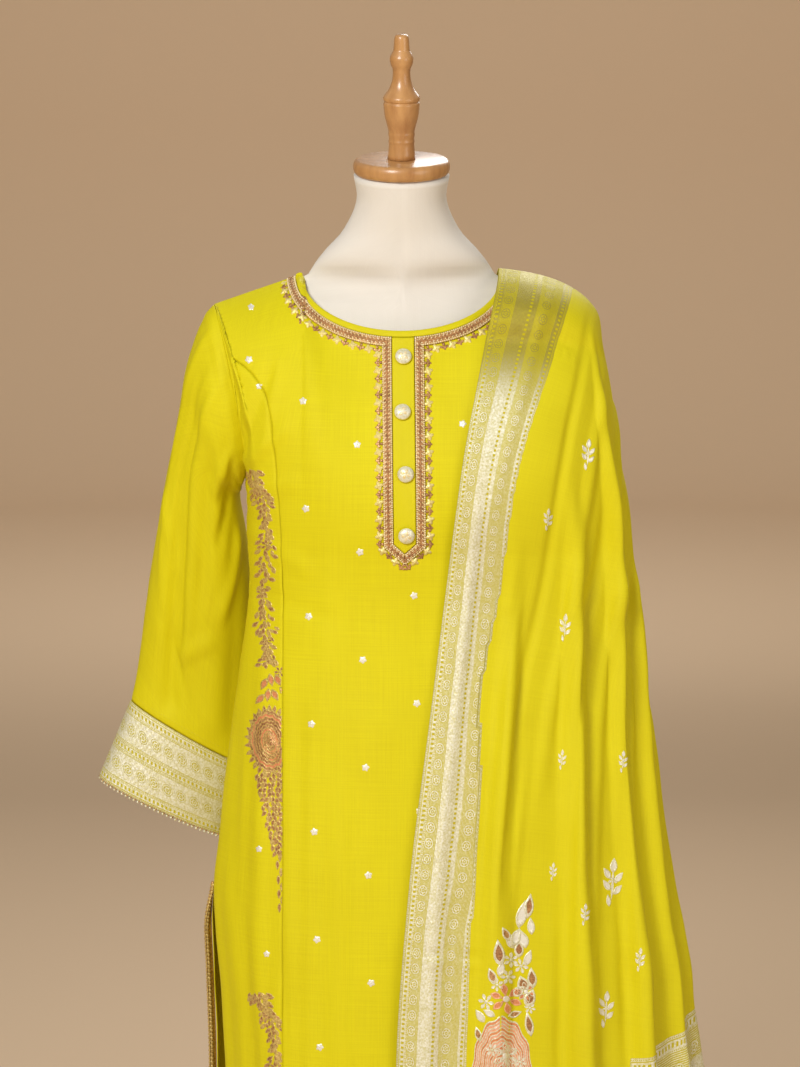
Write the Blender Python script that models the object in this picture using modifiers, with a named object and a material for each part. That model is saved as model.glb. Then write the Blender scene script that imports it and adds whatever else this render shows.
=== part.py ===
"""A salwar kameez suit on a limbless dress form: tunic, trousers and a scarf over one shoulder.

Metres, +Z up. The front faces -Y and the wearer's left is at +X. The origin is on the floor,
under the middle of the stand. Cloth is a wall: a sheet of points worked out from the section
tables below, and the same sheet moved out along its own normals.
"""

import functools
import math

import bmesh
import bpy
from mathutils import Matrix, Vector

# Cloth thicknesses and the gap left at every seam
KAMEEZ_CLOTH = 0.0012
CUFF_CLOTH = 0.0016
DUPATTA_CLOTH = 0.0010
SALWAR_CLOTH = 0.0012
WAISTBAND_CLOTH = 0.0020
PLACKET_CLOTH = 0.0012
BINDING_CLOTH = 0.0010
EMBROIDERY_CLOTH = 0.0018
LACE_CLOTH = 0.0014
SEAM_GAP = 0.0003
ARMHOLE_GAP = 0.0010
TRIM_LIFT = 0.0011
TRIM_GAP = 0.0006

# Kameez: heights of the hem, the ring where the yoke starts, and the points of the neck
HEM_Z = 0.28
YOKE_Z = 1.10
NECK_HALF_WIDTH = 0.1095
NECK_FRONT = Vector((0.0, -0.0700, 1.3386))
NECK_BACK = Vector((0.0, 0.0700, 1.3760))
SHOULDER_NECK = Vector((NECK_HALF_WIDTH, 0.0040, 1.3965))
SHOULDER_TIP = Vector((0.2060, 0.0040, 1.3635))
NECK_SHARE = 0.40
SHOULDER_SHARE = 0.62
SECTION_POWER = 2.25
SKIRT_ROWS = 12
YOKE_ROWS = 8
YOKE_START = SKIRT_ROWS / (SKIRT_ROWS + YOKE_ROWS)
PRINCESS_X = 0.129
PRINCESS_ARMHOLE_SHARE = 0.84
PRINCESS_BEND = 0.30
# Half a seam gap, as a share of the half section
SEAM_SHARE = 0.00096
# Direction straight up off the shoulder seam
SHOULDER_UP = Vector((0.31, 0.0, 0.95))

# Kameez sections: height; half width, depth and side edge of the front; the same of the back
KAMEEZ_COLUMNS = ("z", "front_half", "front_depth", "front_edge", "back_half", "back_depth", "back_edge")
KAMEEZ_ROWS = (
    (0.280, 0.2000, 0.1600, -0.0220, 0.2130, 0.1560, 0.0300),
    (0.400, 0.1970, 0.1570, -0.0220, 0.2120, 0.1530, 0.0300),
    (0.504, 0.1945, 0.1530, -0.0200, 0.2110, 0.1500, 0.0300),
    (0.600, 0.1990, 0.1490, -0.0160, 0.2130, 0.1470, 0.0260),
    (0.672, 0.2065, 0.1460, -0.0090, 0.2140, 0.1440, 0.0150),
    (0.717, 0.2085, 0.1430, -0.0010, 0.2090, 0.1420, 0.0010),
    (0.770, 0.2030, 0.1395, -0.0002, 0.2030, 0.1390, 0.0002),
    (0.830, 0.1970, 0.1345, -0.0002, 0.1970, 0.1350, 0.0002),
    (0.910, 0.1870, 0.1275, -0.0002, 0.1870, 0.1260, 0.0002),
    (0.960, 0.1800, 0.1215, -0.0002, 0.1800, 0.1170, 0.0002),
    (1.015, 0.1720, 0.1165, -0.0002, 0.1720, 0.1070, 0.0002),
    (1.060, 0.1680, 0.1160, -0.0002, 0.1680, 0.1010, 0.0002),
    (1.100, 0.1695, 0.1190, -0.0002, 0.1695, 0.1000, 0.0002),
)

# Way the yoke's cloth arrives at its top edge, from the centre line to the underarm
ARRIVAL_COLUMNS = ("share", "x", "y", "z")
FRONT_ARRIVAL = (
    (0.00, 0.00, 0.36, 0.93),
    (0.10, 0.00, 0.38, 0.92),
    (0.20, 0.02, 0.58, 0.81),
    (0.30, 0.05, 0.80, 0.60),
    (0.40, 0.08, 0.88, 0.46),
    (0.62, 0.22, 0.86, 0.40),
    (0.80, 0.30, 0.15, 0.92),
    (1.00, 0.04, 0.00, 1.00),
)
CHEST_LEAN = 0.16
YOKE_HANDLE = 0.38
YOKE_CROWDING = 1.5

# Soft flutes of the skirt: place round the half section, half width there, height of the flute
FRONT_FLUTES = (
    (-0.88, 0.10, 0.0050),
    (-0.62, 0.09, -0.0045),
    (-0.34, 0.10, 0.0030),
    (0.12, 0.14, -0.0025),
    (0.42, 0.10, 0.0040),
    (0.70, 0.09, -0.0045),
    (0.90, 0.09, 0.0045),
)
BACK_FLUTES = (
    (-0.86, 0.10, 0.0050),
    (-0.55, 0.10, -0.0050),
    (-0.20, 0.12, 0.0050),
    (0.15, 0.10, -0.0040),
    (0.48, 0.11, 0.0050),
    (0.80, 0.10, -0.0045),
)
FLUTE_TOP_Z = 1.02
FLUTE_FULL_Z = 0.50

# Sleeve rings: outer and inner point in the front view, middle and half of the depth, pull at mid
RING_COLUMNS = ("outer_x", "outer_z", "inner_x", "inner_z", "mid_y", "half_depth", "pull")
ARMHOLE_RING = (0.2060, 1.3635, 0.1720, 1.1765, 0.0040, 0.0560, 0.0080)
SLEEVE_RIGHT_ROWS = (
    ARMHOLE_RING,
    (0.2225, 1.3373, 0.1775, 1.1700, 0.0080, 0.0610, 0.0040),
    (0.2362, 1.2970, 0.1790, 1.1640, 0.0140, 0.0620, 0.0),
    (0.2445, 1.2531, 0.1800, 1.1570, 0.0220, 0.0600, 0.0),
    (0.2590, 1.1850, 0.1820, 1.1440, 0.0370, 0.0570, 0.0),
    (0.2775, 1.0920, 0.1720, 1.0680, 0.0560, 0.0530, 0.0),
    (0.2905, 1.0126, 0.1720, 0.9820, 0.0700, 0.0450, 0.0),
    (0.3003, 0.9487, 0.1780, 0.8880, 0.0800, 0.0350, 0.0),
    (0.3092, 0.9060, 0.1800, 0.8310, 0.0830, 0.0300, 0.0),
)
CUFF_RIGHT_ROWS = (
    (0.3095, 0.9055, 0.1803, 0.8305, 0.0830, 0.0300, 0.0),
    (0.3285, 0.8605, 0.1890, 0.7885, 0.0835, 0.0320, 0.0),
    (0.3475, 0.8155, 0.1980, 0.7460, 0.0840, 0.0330, 0.0),
)
SLEEVE_LEFT_ROWS = (
    ARMHOLE_RING,
    (0.2120, 1.3300, 0.1760, 1.1700, 0.0070, 0.0590, 0.0040),
    (0.2190, 1.2900, 0.1775, 1.1640, 0.0120, 0.0590, 0.0),
    (0.2275, 1.2500, 0.1780, 1.1560, 0.0200, 0.0580, 0.0),
    (0.2365, 1.1950, 0.1780, 1.1400, 0.0350, 0.0560, 0.0),
    (0.2460, 1.1200, 0.1710, 1.0850, 0.0520, 0.0550, 0.0),
    (0.2540, 1.0400, 0.1720, 1.0050, 0.0700, 0.0540, 0.0),
    (0.2600, 0.9600, 0.1760, 0.9250, 0.0860, 0.0530, 0.0),
    (0.2625, 0.9000, 0.1800, 0.8620, 0.0960, 0.0520, 0.0),
)
CUFF_LEFT_ROWS = (
    (0.2626, 0.8995, 0.1801, 0.8615, 0.0960, 0.0520, 0.0),
    (0.2675, 0.8550, 0.1840, 0.8130, 0.1000, 0.0520, 0.0),
    (0.2720, 0.8100, 0.1880, 0.7650, 0.1040, 0.0520, 0.0),
)
# Long sleeve folds: angle from the outer side towards the front, half width, height, where it starts
SLEEVE_FOLDS = (
    (62.0, 26.0, -0.0060, 0.20),
    (112.0, 26.0, 0.0040, 0.25),
    (228.0, 30.0, -0.0050, 0.30),
    (292.0, 28.0, 0.0040, 0.25),
)

# Placket, embroidery and buttons, in the front view
BINDING_WIDTH = 0.0055
EMBROIDERY_WIDTH = 0.0100
EMBROIDERY_ROWS = (9, 12, 2)
EMBROIDERY_START_TURN = 0.243
EMBROIDERY_CORNER_RISE = 0.0008
ELBOW_SPREAD = 0.35
TIP_SPREAD = 1.25
TIP_GAP = 0.00025
PLACKET_HALF_WIDTH = 0.0117
PLACKET_TOP_X = 0.0015
PLACKET_END = Vector((0.0036, 0.0, 1.1060))
PLACKET_SHOULDER_Z = 1.1165
BUTTON_RADIUS = 0.0092
BUTTON_HEIGHT = 0.0050
BUTTON_LIFT = 0.0014
BUTTON_PLACES = ((0.0020, 1.3115), (0.0011, 1.2541), (0.0043, 1.1902), (0.0052, 1.1259))

# Lace on the slit edges of the back panel
LACE_WIDTH = 0.0065
LACE_TOP_Z = 0.712
LACE_OVERHANG = 0.0035
LACE_FLARE = 0.0045

# Dupatta sections: place along the cloth from the shoulder's top; inner edge; the line where the
# section turns the body's side; outer edge; how straight it runs to that line
DUPATTA_COLUMNS = (
    "run", "in_x", "in_z", "side_x", "side_y", "side_z", "end_x", "end_y", "end_z", "straight",
)
DUPATTA_FRONT_ROWS = (
    (0.00, 0.1065, 1.4025, 0.2155, 0.0200, 1.3480, 0.2215, 0.0300, 1.2980, 0.85),
    (0.03, 0.1040, 1.3900, 0.2175, 0.0000, 1.3420, 0.2235, 0.0240, 1.2850, 1.00),
    (0.08, 0.0947, 1.3502, 0.2210, -0.0120, 1.3120, 0.2275, 0.0220, 1.2640, 1.20),
    (0.13, 0.0841, 1.2992, 0.2285, -0.0110, 1.2760, 0.2325, 0.0270, 1.2370, 1.30),
    (0.21, 0.0675, 1.2168, 0.2390, 0.0010, 1.2060, 0.2400, 0.0380, 1.1800, 1.20),
    (0.29, 0.0570, 1.1424, 0.2520, 0.0100, 1.1400, 0.2500, 0.0470, 1.1200, 1.00),
    (0.37, 0.0465, 1.0561, 0.2605, 0.0140, 1.0560, 0.2585, 0.0540, 1.0450, 0.92),
    (0.50, 0.0305, 0.9275, 0.2725, 0.0140, 0.9260, 0.2700, 0.0560, 0.9200, 0.92),
    (0.64, 0.0124, 0.7871, 0.2885, 0.0120, 0.7900, 0.2850, 0.0560, 0.7900, 0.92),
    (0.73, 0.0038, 0.6987, 0.3040, 0.0100, 0.7000, 0.2990, 0.0540, 0.7020, 0.92),
    (0.82, -0.0025, 0.6200, 0.3205, 0.0080, 0.6200, 0.3150, 0.0520, 0.6260, 0.92),
    (0.89, -0.0059, 0.5490, 0.3280, 0.0060, 0.5500, 0.3230, 0.0500, 0.5600, 0.92),
    (1.00, -0.0090, 0.3720, 0.3520, 0.0060, 0.4340, 0.3460, 0.0500, 0.4440, 0.92),
)
DUPATTA_BACK_ROWS = (
    (0.00, 0.1065, 1.4025, 0.2155, 0.0200, 1.3480, 0.2215, 0.0300, 1.2980, 0.85),
    (0.03, 0.1045, 1.3910, 0.2165, 0.0420, 1.3420, 0.2225, 0.0400, 1.2880, 0.90),
    (0.08, 0.0990, 1.3550, 0.2190, 0.0640, 1.3130, 0.2250, 0.0560, 1.2700, 0.76),
    (0.14, 0.0920, 1.3050, 0.2240, 0.0880, 1.2780, 0.2300, 0.0740, 1.2400, 0.86),
    (0.22, 0.0840, 1.2250, 0.2330, 0.1130, 1.2080, 0.2390, 0.0990, 1.1800, 0.90),
    (0.32, 0.0760, 1.1200, 0.2420, 0.1330, 1.1100, 0.2480, 0.1190, 1.0950, 0.80),
    (0.44, 0.0700, 1.0000, 0.2480, 0.1560, 0.9950, 0.2540, 0.1420, 0.9850, 0.70),
    (0.58, 0.0620, 0.8500, 0.2530, 0.1780, 0.8500, 0.2590, 0.1640, 0.8450, 0.70),
    (0.72, 0.0550, 0.7000, 0.2580, 0.1830, 0.7000, 0.2640, 0.1690, 0.7000, 0.75),
    (0.86, 0.0490, 0.5500, 0.2630, 0.1800, 0.5500, 0.2690, 0.1660, 0.5500, 0.80),
    (1.00, 0.0450, 0.3000, 0.2680, 0.1780, 0.3150, 0.2740, 0.1640, 0.3250, 0.80),
)
DUPATTA_SIDE_SHARE = 0.80
DUPATTA_REST_GAP = 0.0060
DUPATTA_LAID_RUN = 0.08
SHOULDER_RUN = 0.055
DUPATTA_JOIN = 0.0026
# Dupatta folds: share across at the shoulder and at the hem, half width, height, where each starts
DUPATTA_FRONT_FOLDS = (
    (0.060, 0.050, 0.030, 0.0050, 0.20),
    (0.190, 0.160, 0.034, 0.0130, 0.30),
    (0.380, 0.330, 0.042, 0.0170, 0.25),
    (0.560, 0.470, 0.036, 0.0130, 0.06),
    (0.690, 0.610, 0.040, 0.0110, 0.20),
    (0.800, 0.740, 0.040, 0.0060, 0.35),
)
DUPATTA_BACK_FOLDS = (
    (0.100, 0.080, 0.050, 0.0100, 0.15),
    (0.300, 0.280, 0.055, 0.0150, 0.12),
    (0.500, 0.490, 0.055, 0.0140, 0.15),
    (0.700, 0.690, 0.050, 0.0120, 0.18),
)

# Salwar legs: height, how far the section is closed, inner line, half width, depths, middle
LEG_COLUMNS = ("z", "closed", "inner_x", "half", "front", "back", "mid_y")
LEG_TOP_ROWS = (
    (1.0017, 0.00, 0.0003, 0.1285, 0.0915, 0.0915, 0.0),
    (0.950, 0.00, 0.0003, 0.1490, 0.1000, 0.1020, 0.0),
    (0.870, 0.00, 0.0003, 0.1700, 0.1090, 0.1140, 0.0),
    (0.800, 0.00, 0.0003, 0.1790, 0.1130, 0.1190, 0.0),
    (0.725, 0.00, 0.0003, 0.1790, 0.1120, 0.1180, 0.0),
)
LEG_RIGHT_ROWS = LEG_TOP_ROWS + (
    (0.685, 0.30, -0.0100, 0.1340, 0.1080, 0.1120, 0.0),
    (0.640, 0.85, -0.0280, 0.1060, 0.0980, 0.1000, 0.0),
    (0.590, 1.00, -0.0335, 0.1020, 0.0920, 0.0920, 0.0),
    (0.450, 1.00, -0.0335, 0.0950, 0.0860, 0.0860, 0.0),
    (0.280, 1.00, -0.0330, 0.0780, 0.0730, 0.0730, 0.0),
    (0.106, 1.00, -0.0320, 0.0600, 0.0580, 0.0580, 0.0),
)
LEG_LEFT_ROWS = LEG_TOP_ROWS + (
    (0.685, 0.30, 0.0135, 0.1180, 0.1080, 0.1120, 0.0),
    (0.640, 0.85, 0.0320, 0.0790, 0.0980, 0.1000, 0.0),
    (0.590, 1.00, 0.0380, 0.0760, 0.0920, 0.0920, 0.0),
    (0.450, 1.00, 0.0380, 0.0750, 0.0860, 0.0860, 0.0),
    (0.280, 1.00, 0.0380, 0.0690, 0.0730, 0.0730, 0.0),
    (0.106, 1.00, 0.0380, 0.0600, 0.0580, 0.0580, 0.0),
)
WAISTBAND_TOP_Z = 1.038
WAISTBAND_BOTTOM_Z = 1.0022
WAISTBAND_SIZES = (0.1246, 0.0876, 0.0876)
ANKLE_TOP_Z = 0.1057
ANKLE_BOTTOM_Z = 0.060
LEG_SOFTNESS = 0.018

# Dress form sections: height, half width, depths, middle, tilt in degrees, power of the outline
FORM_COLUMNS = ("z", "half", "front", "back", "mid_y", "tilt", "power")
FORM_ROWS = (
    (0.7200, 0.1560, 0.0900, 0.0960, 0.000, 0.0, 2.2),
    (0.7350, 0.1660, 0.0980, 0.1040, 0.000, 0.0, 2.2),
    (0.8000, 0.1690, 0.1010, 0.1070, 0.000, 0.0, 2.2),
    (0.8700, 0.1610, 0.0980, 0.1030, 0.000, 0.0, 2.2),
    (0.9500, 0.1400, 0.0910, 0.0930, 0.000, 0.0, 2.1),
    (1.0000, 0.1240, 0.0870, 0.0870, 0.000, 0.0, 2.1),
    (1.0420, 0.1240, 0.0870, 0.0870, 0.000, 0.0, 2.1),
    (1.1000, 0.1400, 0.1010, 0.0850, 0.000, 0.0, 2.1),
    (1.1650, 0.1520, 0.1100, 0.0880, 0.000, 0.0, 2.1),
    (1.2200, 0.1540, 0.0980, 0.0880, 0.000, 0.0, 2.1),
    (1.2800, 0.1620, 0.0740, 0.0800, 0.002, 0.0, 1.9),
    (1.3300, 0.1780, 0.0580, 0.0660, 0.003, 0.0, 1.6),
    (1.3550, 0.1840, 0.0540, 0.0580, 0.004, 0.0, 1.3),
    (1.3705, None, 0.0500, 0.0540, 0.004, 0.0, 1.08),
    (1.3820, None, 0.0460, 0.0500, 0.004, 0.0, 1.02),
    (1.3945, 0.1075, 0.0440, 0.0480, 0.003, 0.0, 1.10),
    (1.4100, 0.0950, 0.0470, 0.0490, 0.000, 0.0, 1.8),
    (1.4260, 0.0820, 0.0460, 0.0480, -0.004, 2.0, 2.0),
    (1.4456, 0.0640, 0.0450, 0.0470, -0.009, 5.0, 2.0),
    (1.4787, 0.0490, 0.0440, 0.0450, -0.021, 9.0, 2.0),
    (1.5060, 0.0520, 0.0460, 0.0460, -0.028, 10.5, 2.0),
)
SHOULDER_CLEARANCE = 0.0008
NECK_TILT = math.radians(10.5)
CAP_PLACE = Vector((0.0, -0.0282, 1.5066))
CAP_RADIUS = 0.0525
CAP_THICKNESS = 0.0165
# Finial profile from its top down: radius and height above the cap
FINIAL_PROFILE = (
    (0.0060, 0.1340),
    (0.0077, 0.1315),
    (0.0087, 0.1175),
    (0.0092, 0.1165),
    (0.0122, 0.1110),
    (0.0128, 0.1075),
    (0.0118, 0.1020),
    (0.0092, 0.0968),
    (0.0098, 0.0860),
    (0.0128, 0.0770),
    (0.0190, 0.0685),
    (0.0198, 0.0668),
    (0.0198, 0.0640),
    (0.0180, 0.0625),
    (0.0195, 0.0610),
    (0.0195, 0.0580),
    (0.0184, 0.0470),
    (0.0160, 0.0380),
    (0.0139, 0.0300),
    (0.0145, 0.0275),
    (0.0135, 0.0222),
    (0.0143, 0.0195),
    (0.0136, 0.0170),
    (0.0143, 0.0080),
    (0.0153, 0.0003),
)
POLE_RADIUS = 0.0140
BASE_RADIUS = 0.1800
BASE_EDGE_TOP = 0.0150
BASE_TOP = 0.0260

YELLOW = (0.76, 0.63, 0.006, 1.0)
SILVER_GOLD = (0.80, 0.76, 0.42, 1.0)
COPPER = (0.42, 0.20, 0.09, 1.0)
CREAM = (0.82, 0.77, 0.69, 1.0)
WOOD = (0.55, 0.30, 0.11, 1.0)


def clear_scene():
    for item in list(bpy.data.objects):
        bpy.data.objects.remove(item, do_unlink=True)


def smooth_step(value):
    value = min(max(value, 0.0), 1.0)
    return value * value * (3.0 - 2.0 * value)


def bump(distance, half):
    """A soft ridge, one at its middle and nothing past its half width."""
    return 0.5 + 0.5 * math.cos(math.pi * min(abs(distance) / half, 1.0))


def named_row(columns, rows, key):
    """The table's row at this value of its first column, read from smooth curves through the rows."""
    keys = [row[0] for row in rows]
    rising = keys[-1] > keys[0]
    place = 0
    while place < len(keys) - 2 and (key > keys[place + 1]) == rising and key != keys[place + 1]:
        place += 1
    before = max(place - 1, 0)
    after = min(place + 2, len(rows) - 1)
    span = keys[place + 1] - keys[place]
    part = min(max((key - keys[place]) / span, 0.0), 1.0)
    result = {columns[0]: key}
    for index in range(1, len(columns)):
        start = rows[place][index]
        end = rows[place + 1][index]
        slope_in = (end - rows[before][index]) / (keys[place + 1] - keys[before]) * span
        slope_out = (rows[after][index] - start) / (keys[after] - keys[place]) * span
        square = part * part
        cube = square * part
        result[columns[index]] = (
            (2 * cube - 3 * square + 1) * start
            + (cube - 2 * square + part) * slope_in
            + (3 * square - 2 * cube) * end
            + (cube - square) * slope_out
        )
    return result


def power_of(value, power):
    return math.copysign(abs(value) ** power, value)


def material_of(name, color, roughness, metallic):
    made = bpy.data.materials.new(name)
    made.use_nodes = True
    shader = made.node_tree.nodes["Principled BSDF"]
    shader.inputs["Base Color"].default_value = color
    shader.inputs["Roughness"].default_value = roughness
    shader.inputs["Metallic"].default_value = metallic
    return made


def add_object(name, mesh, color, roughness=0.6, metallic=0.0):
    made = bpy.data.objects.new(name, mesh)
    mesh.materials.append(material_of(name + "_finish", color, roughness, metallic))
    bpy.data.collections["salwar_kameez_suit"].objects.link(made)
    return made


def sheet_normal(point, u, v):
    """The unit normal of a sheet, from its points a small step away."""
    step = 0.002
    across = point(min(u + step, 1.0), v) - point(max(u - step, 0.0), v)
    along = point(u, min(v + step, 1.0)) - point(u, max(v - step, 0.0))
    return across.cross(along).normalized()


def finished_mesh(work, name):
    """The closed mesh with every face pointing out."""
    bmesh.ops.recalc_face_normals(work, faces=work.faces)
    if work.calc_volume(signed=True) < 0.0:
        bmesh.ops.reverse_faces(work, faces=work.faces)
    mesh = bpy.data.meshes.new(name)
    work.to_mesh(mesh)
    work.free()
    mesh.shade_smooth()
    return mesh


def wall(name, point, inside, columns, rows, thickness, color, closed=False,
         edge_normal=None, roughness=0.6, metallic=0.0):
    """A cloth wall: a grid laid on point(u, v), and its copy moved out, away from inside(u, v)."""
    work = bmesh.new()
    bmesh.ops.create_grid(work, x_segments=columns, y_segments=rows, size=0.5)
    faces = list(work.faces)
    grown = bmesh.ops.extrude_face_region(work, geom=faces, use_keep_orig=True)
    outer = {item for item in grown["geom"] if isinstance(item, bmesh.types.BMVert)}
    if closed:
        ends = []
        for face in work.faces:
            xs = {round(vertex.co.x, 4) for vertex in face.verts}
            if xs in ({-0.5}, {0.5}):
                ends.append(face)
        bmesh.ops.delete(work, geom=ends, context="FACES_ONLY")
    for vertex in work.verts:
        u = vertex.co.x + 0.5
        v = vertex.co.y + 0.5
        place = point(0.0 if closed and u > 0.9999 else u, v)
        normal = None
        if edge_normal:
            normal = edge_normal(u, v)
        if normal is None:
            if closed:
                normal = tube_normal(point, u, v)
            else:
                normal = sheet_normal(point, u, v)
            if normal.dot(place - inside(u, v)) < 0.0:
                normal = -normal
        vertex.co = place + normal * (thickness if vertex in outer else 0.0)
    bmesh.ops.remove_doubles(work, verts=work.verts, dist=1e-6)
    return add_object(name, finished_mesh(work, name), color, roughness, metallic)


def tube_normal(point, u, v):
    step = 0.002
    across = point((u + step) % 1.0, v) - point((u - step) % 1.0, v)
    along = point(u % 1.0, min(v + step, 1.0)) - point(u % 1.0, max(v - step, 0.0))
    return across.cross(along).normalized()


def turned(name, profile, steps, color, place, tilt=0.0, roughness=0.4):
    """A turned piece from a profile of radius and height, closed on the axis at both ends."""
    points = [(0.0, profile[0][1])] + list(profile) + [(0.0, profile[-1][1])]
    mesh = bpy.data.meshes.new(name)
    edges = [(index, index + 1) for index in range(len(points) - 1)]
    mesh.from_pydata([(radius, 0.0, height) for radius, height in points], edges, [])
    made = add_object(name, mesh, color, roughness)
    screw = made.modifiers.new("turn", "SCREW")
    screw.steps = steps
    screw.render_steps = steps
    screw.use_merge_vertices = True
    screw.merge_threshold = 1e-5
    made.location = place
    made.rotation_euler = (tilt, 0.0, 0.0)
    return made


# The kameez


def section_point(half, depth, edge, share, sign):
    """A point of one half section: share runs from 0 at its middle to 1 or -1 at its side edges."""
    angle = share * math.pi / 2
    across = power_of(math.sin(angle), 2 / SECTION_POWER)
    forward = abs(math.cos(angle)) ** (2 / SECTION_POWER)
    return half * across, edge * (1.0 - forward) + sign * depth * forward


def flute(flutes, share, z):
    strength = smooth_step((FLUTE_TOP_Z - z) / (FLUTE_TOP_Z - FLUTE_FULL_Z))
    total = 0.0
    for place, half, height in flutes:
        total += height * bump(share - place, half)
    return total * strength


def skirt_point(front, share, z):
    """The kameez below the yoke. Share is 0 at the centre line and 1 at the wearer's left side seam."""
    row = named_row(KAMEEZ_COLUMNS, KAMEEZ_ROWS, z)
    side = "front" if front else "back"
    sign = -1.0 if front else 1.0
    x, y = section_point(row[side + "_half"], row[side + "_depth"], row[side + "_edge"], share, sign)
    swell = flute(FRONT_FLUTES if front else BACK_FLUTES, share, z)
    angle = share * math.pi / 2
    return Vector((x + swell * math.sin(angle), y + sign * swell * math.cos(angle), z))


def ring_point(ring, angle):
    """A sleeve ring: angle 0 at its outer side, a quarter turn at the front, a half turn inside."""
    outer = Vector((ring["outer_x"], 0.0, ring["outer_z"]))
    inner = Vector((ring["inner_x"], 0.0, ring["inner_z"]))
    middle = (outer + inner) / 2
    place = middle + (outer - inner) / 2 * math.cos(angle)
    place.x -= ring["pull"] * abs(math.sin(angle))
    place.y = ring["mid_y"] - ring["half_depth"] * math.sin(angle)
    return place


def top_point(front, share):
    """The yoke's top edge: neckline, shoulder seam, then armhole, from the centre line to the side."""
    if share < NECK_SHARE:
        angle = share / NECK_SHARE * math.pi / 2
        centre = NECK_FRONT if front else NECK_BACK
        place = SHOULDER_NECK.lerp(centre, math.cos(angle))
        place.x = NECK_HALF_WIDTH * math.sin(angle)
        return place
    if share < SHOULDER_SHARE:
        return SHOULDER_NECK.lerp(SHOULDER_TIP, (share - NECK_SHARE) / (SHOULDER_SHARE - NECK_SHARE))
    angle = (share - SHOULDER_SHARE) / (1.0 - SHOULDER_SHARE) * math.pi
    ring = dict(zip(RING_COLUMNS, ARMHOLE_RING))
    return ring_point(ring, angle if front else -angle)


def body_point(front, share, v):
    """The whole kameez: v is 0 at the hem and 1 at the top edge. Share is -1 to 1 across."""
    if v <= YOKE_START:
        return skirt_point(front, share, HEM_Z + (YOKE_Z - HEM_Z) * v / YOKE_START)
    mirror = -1.0 if share < 0.0 else 1.0
    across = abs(share)
    start = skirt_point(front, across, YOKE_Z)
    below = skirt_point(front, across, YOKE_Z - 0.01)
    end = top_point(front, across)
    row = named_row(ARRIVAL_COLUMNS, FRONT_ARRIVAL, across)
    back = 1.0 if front else -1.0
    leave = start - below
    leave.normalize()
    leave.y -= back * CHEST_LEAN * math.cos(across * math.pi / 2) * (1.0 if front else 0.4)
    arrive = Vector((row["x"], back * row["y"], row["z"])).normalized()
    reach = YOKE_HANDLE * (end - start).length
    first = start + leave * reach
    second = end - arrive * reach
    rest = (1.0 - (v - YOKE_START) / (1.0 - YOKE_START)) ** YOKE_CROWDING
    part = 1.0 - rest
    place = start * rest ** 3 + first * (3 * part * rest ** 2) + second * (3 * part ** 2 * rest)
    place += end * part ** 3
    place.x *= mirror
    return place


def body_normal(front, share, v):
    step = 0.004
    low = max(v - step, 0.0)
    high = min(v + step, 1.0)
    left = max(share - step, -1.0)
    right = min(share + step, 1.0)
    across = body_point(front, right, v) - body_point(front, left, v)
    along = body_point(front, share, high) - body_point(front, share, low)
    normal = across.cross(along).normalized()
    return normal if front else -normal


def body_at(front, x, z, lift=0.0):
    """The kameez's surface at this x and z of the front view, moved out by lift."""
    share = x / 0.25
    v = YOKE_START + (1.0 - YOKE_START) * (z - YOKE_Z) / (NECK_FRONT.z - YOKE_Z)
    v = min(max(v, 0.0), 0.98)
    step = 1e-4
    for _ in range(25):
        place = body_point(front, share, v)
        wide = (body_point(front, share + step, v) - place) / step
        tall = (body_point(front, share, v + step) - place) / step
        off_x = x - place.x
        off_z = z - place.z
        area = wide.x * tall.z - tall.x * wide.z
        if abs(area) < 1e-9:
            break
        share += 0.8 * (off_x * tall.z - off_z * tall.x) / area
        v += 0.8 * (off_z * wide.x - off_x * wide.z) / area
        share = min(max(share, -0.999), 0.999)
        v = min(max(v, 0.0), 0.9995)
        if abs(off_x) + abs(off_z) < 1e-6:
            break
    return body_point(front, share, v) + body_normal(front, share, v) * lift


def princess_share(v):
    """Where the long front seam crosses at this height: straight below the bust, out to the armhole."""
    z = HEM_Z + (YOKE_Z - HEM_Z) * min(v / YOKE_START, 1.0)
    half = named_row(KAMEEZ_COLUMNS, KAMEEZ_ROWS, z)["front_half"]
    below = math.asin((PRINCESS_X / half) ** (SECTION_POWER / 2)) / (math.pi / 2)
    if v <= YOKE_START:
        return below
    part = (v - YOKE_START) / (1.0 - YOKE_START)
    bend = smooth_step((part - PRINCESS_BEND) / (1.0 - PRINCESS_BEND))
    return below + (PRINCESS_ARMHOLE_SHARE - below) * bend


def axis_point(u, v):
    return Vector((0.0, 0.02, 0.7))


def panel_share(u, v, top_shares):
    """A column's place across a panel, from -1 to 1. At the top it meets the corners in top_shares."""
    across = abs(2 * u - 1.0)
    place = across * (len(top_shares) - 1)
    low = min(int(place), len(top_shares) - 2)
    top = top_shares[low] + (top_shares[low + 1] - top_shares[low]) * (place - low)
    part = smooth_step((v - YOKE_START) / (1.0 - YOKE_START) * 1.6)
    share = across * (1.0 - part) + top / top_shares[-1] * part
    return math.copysign(share, u - 0.5)


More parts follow.
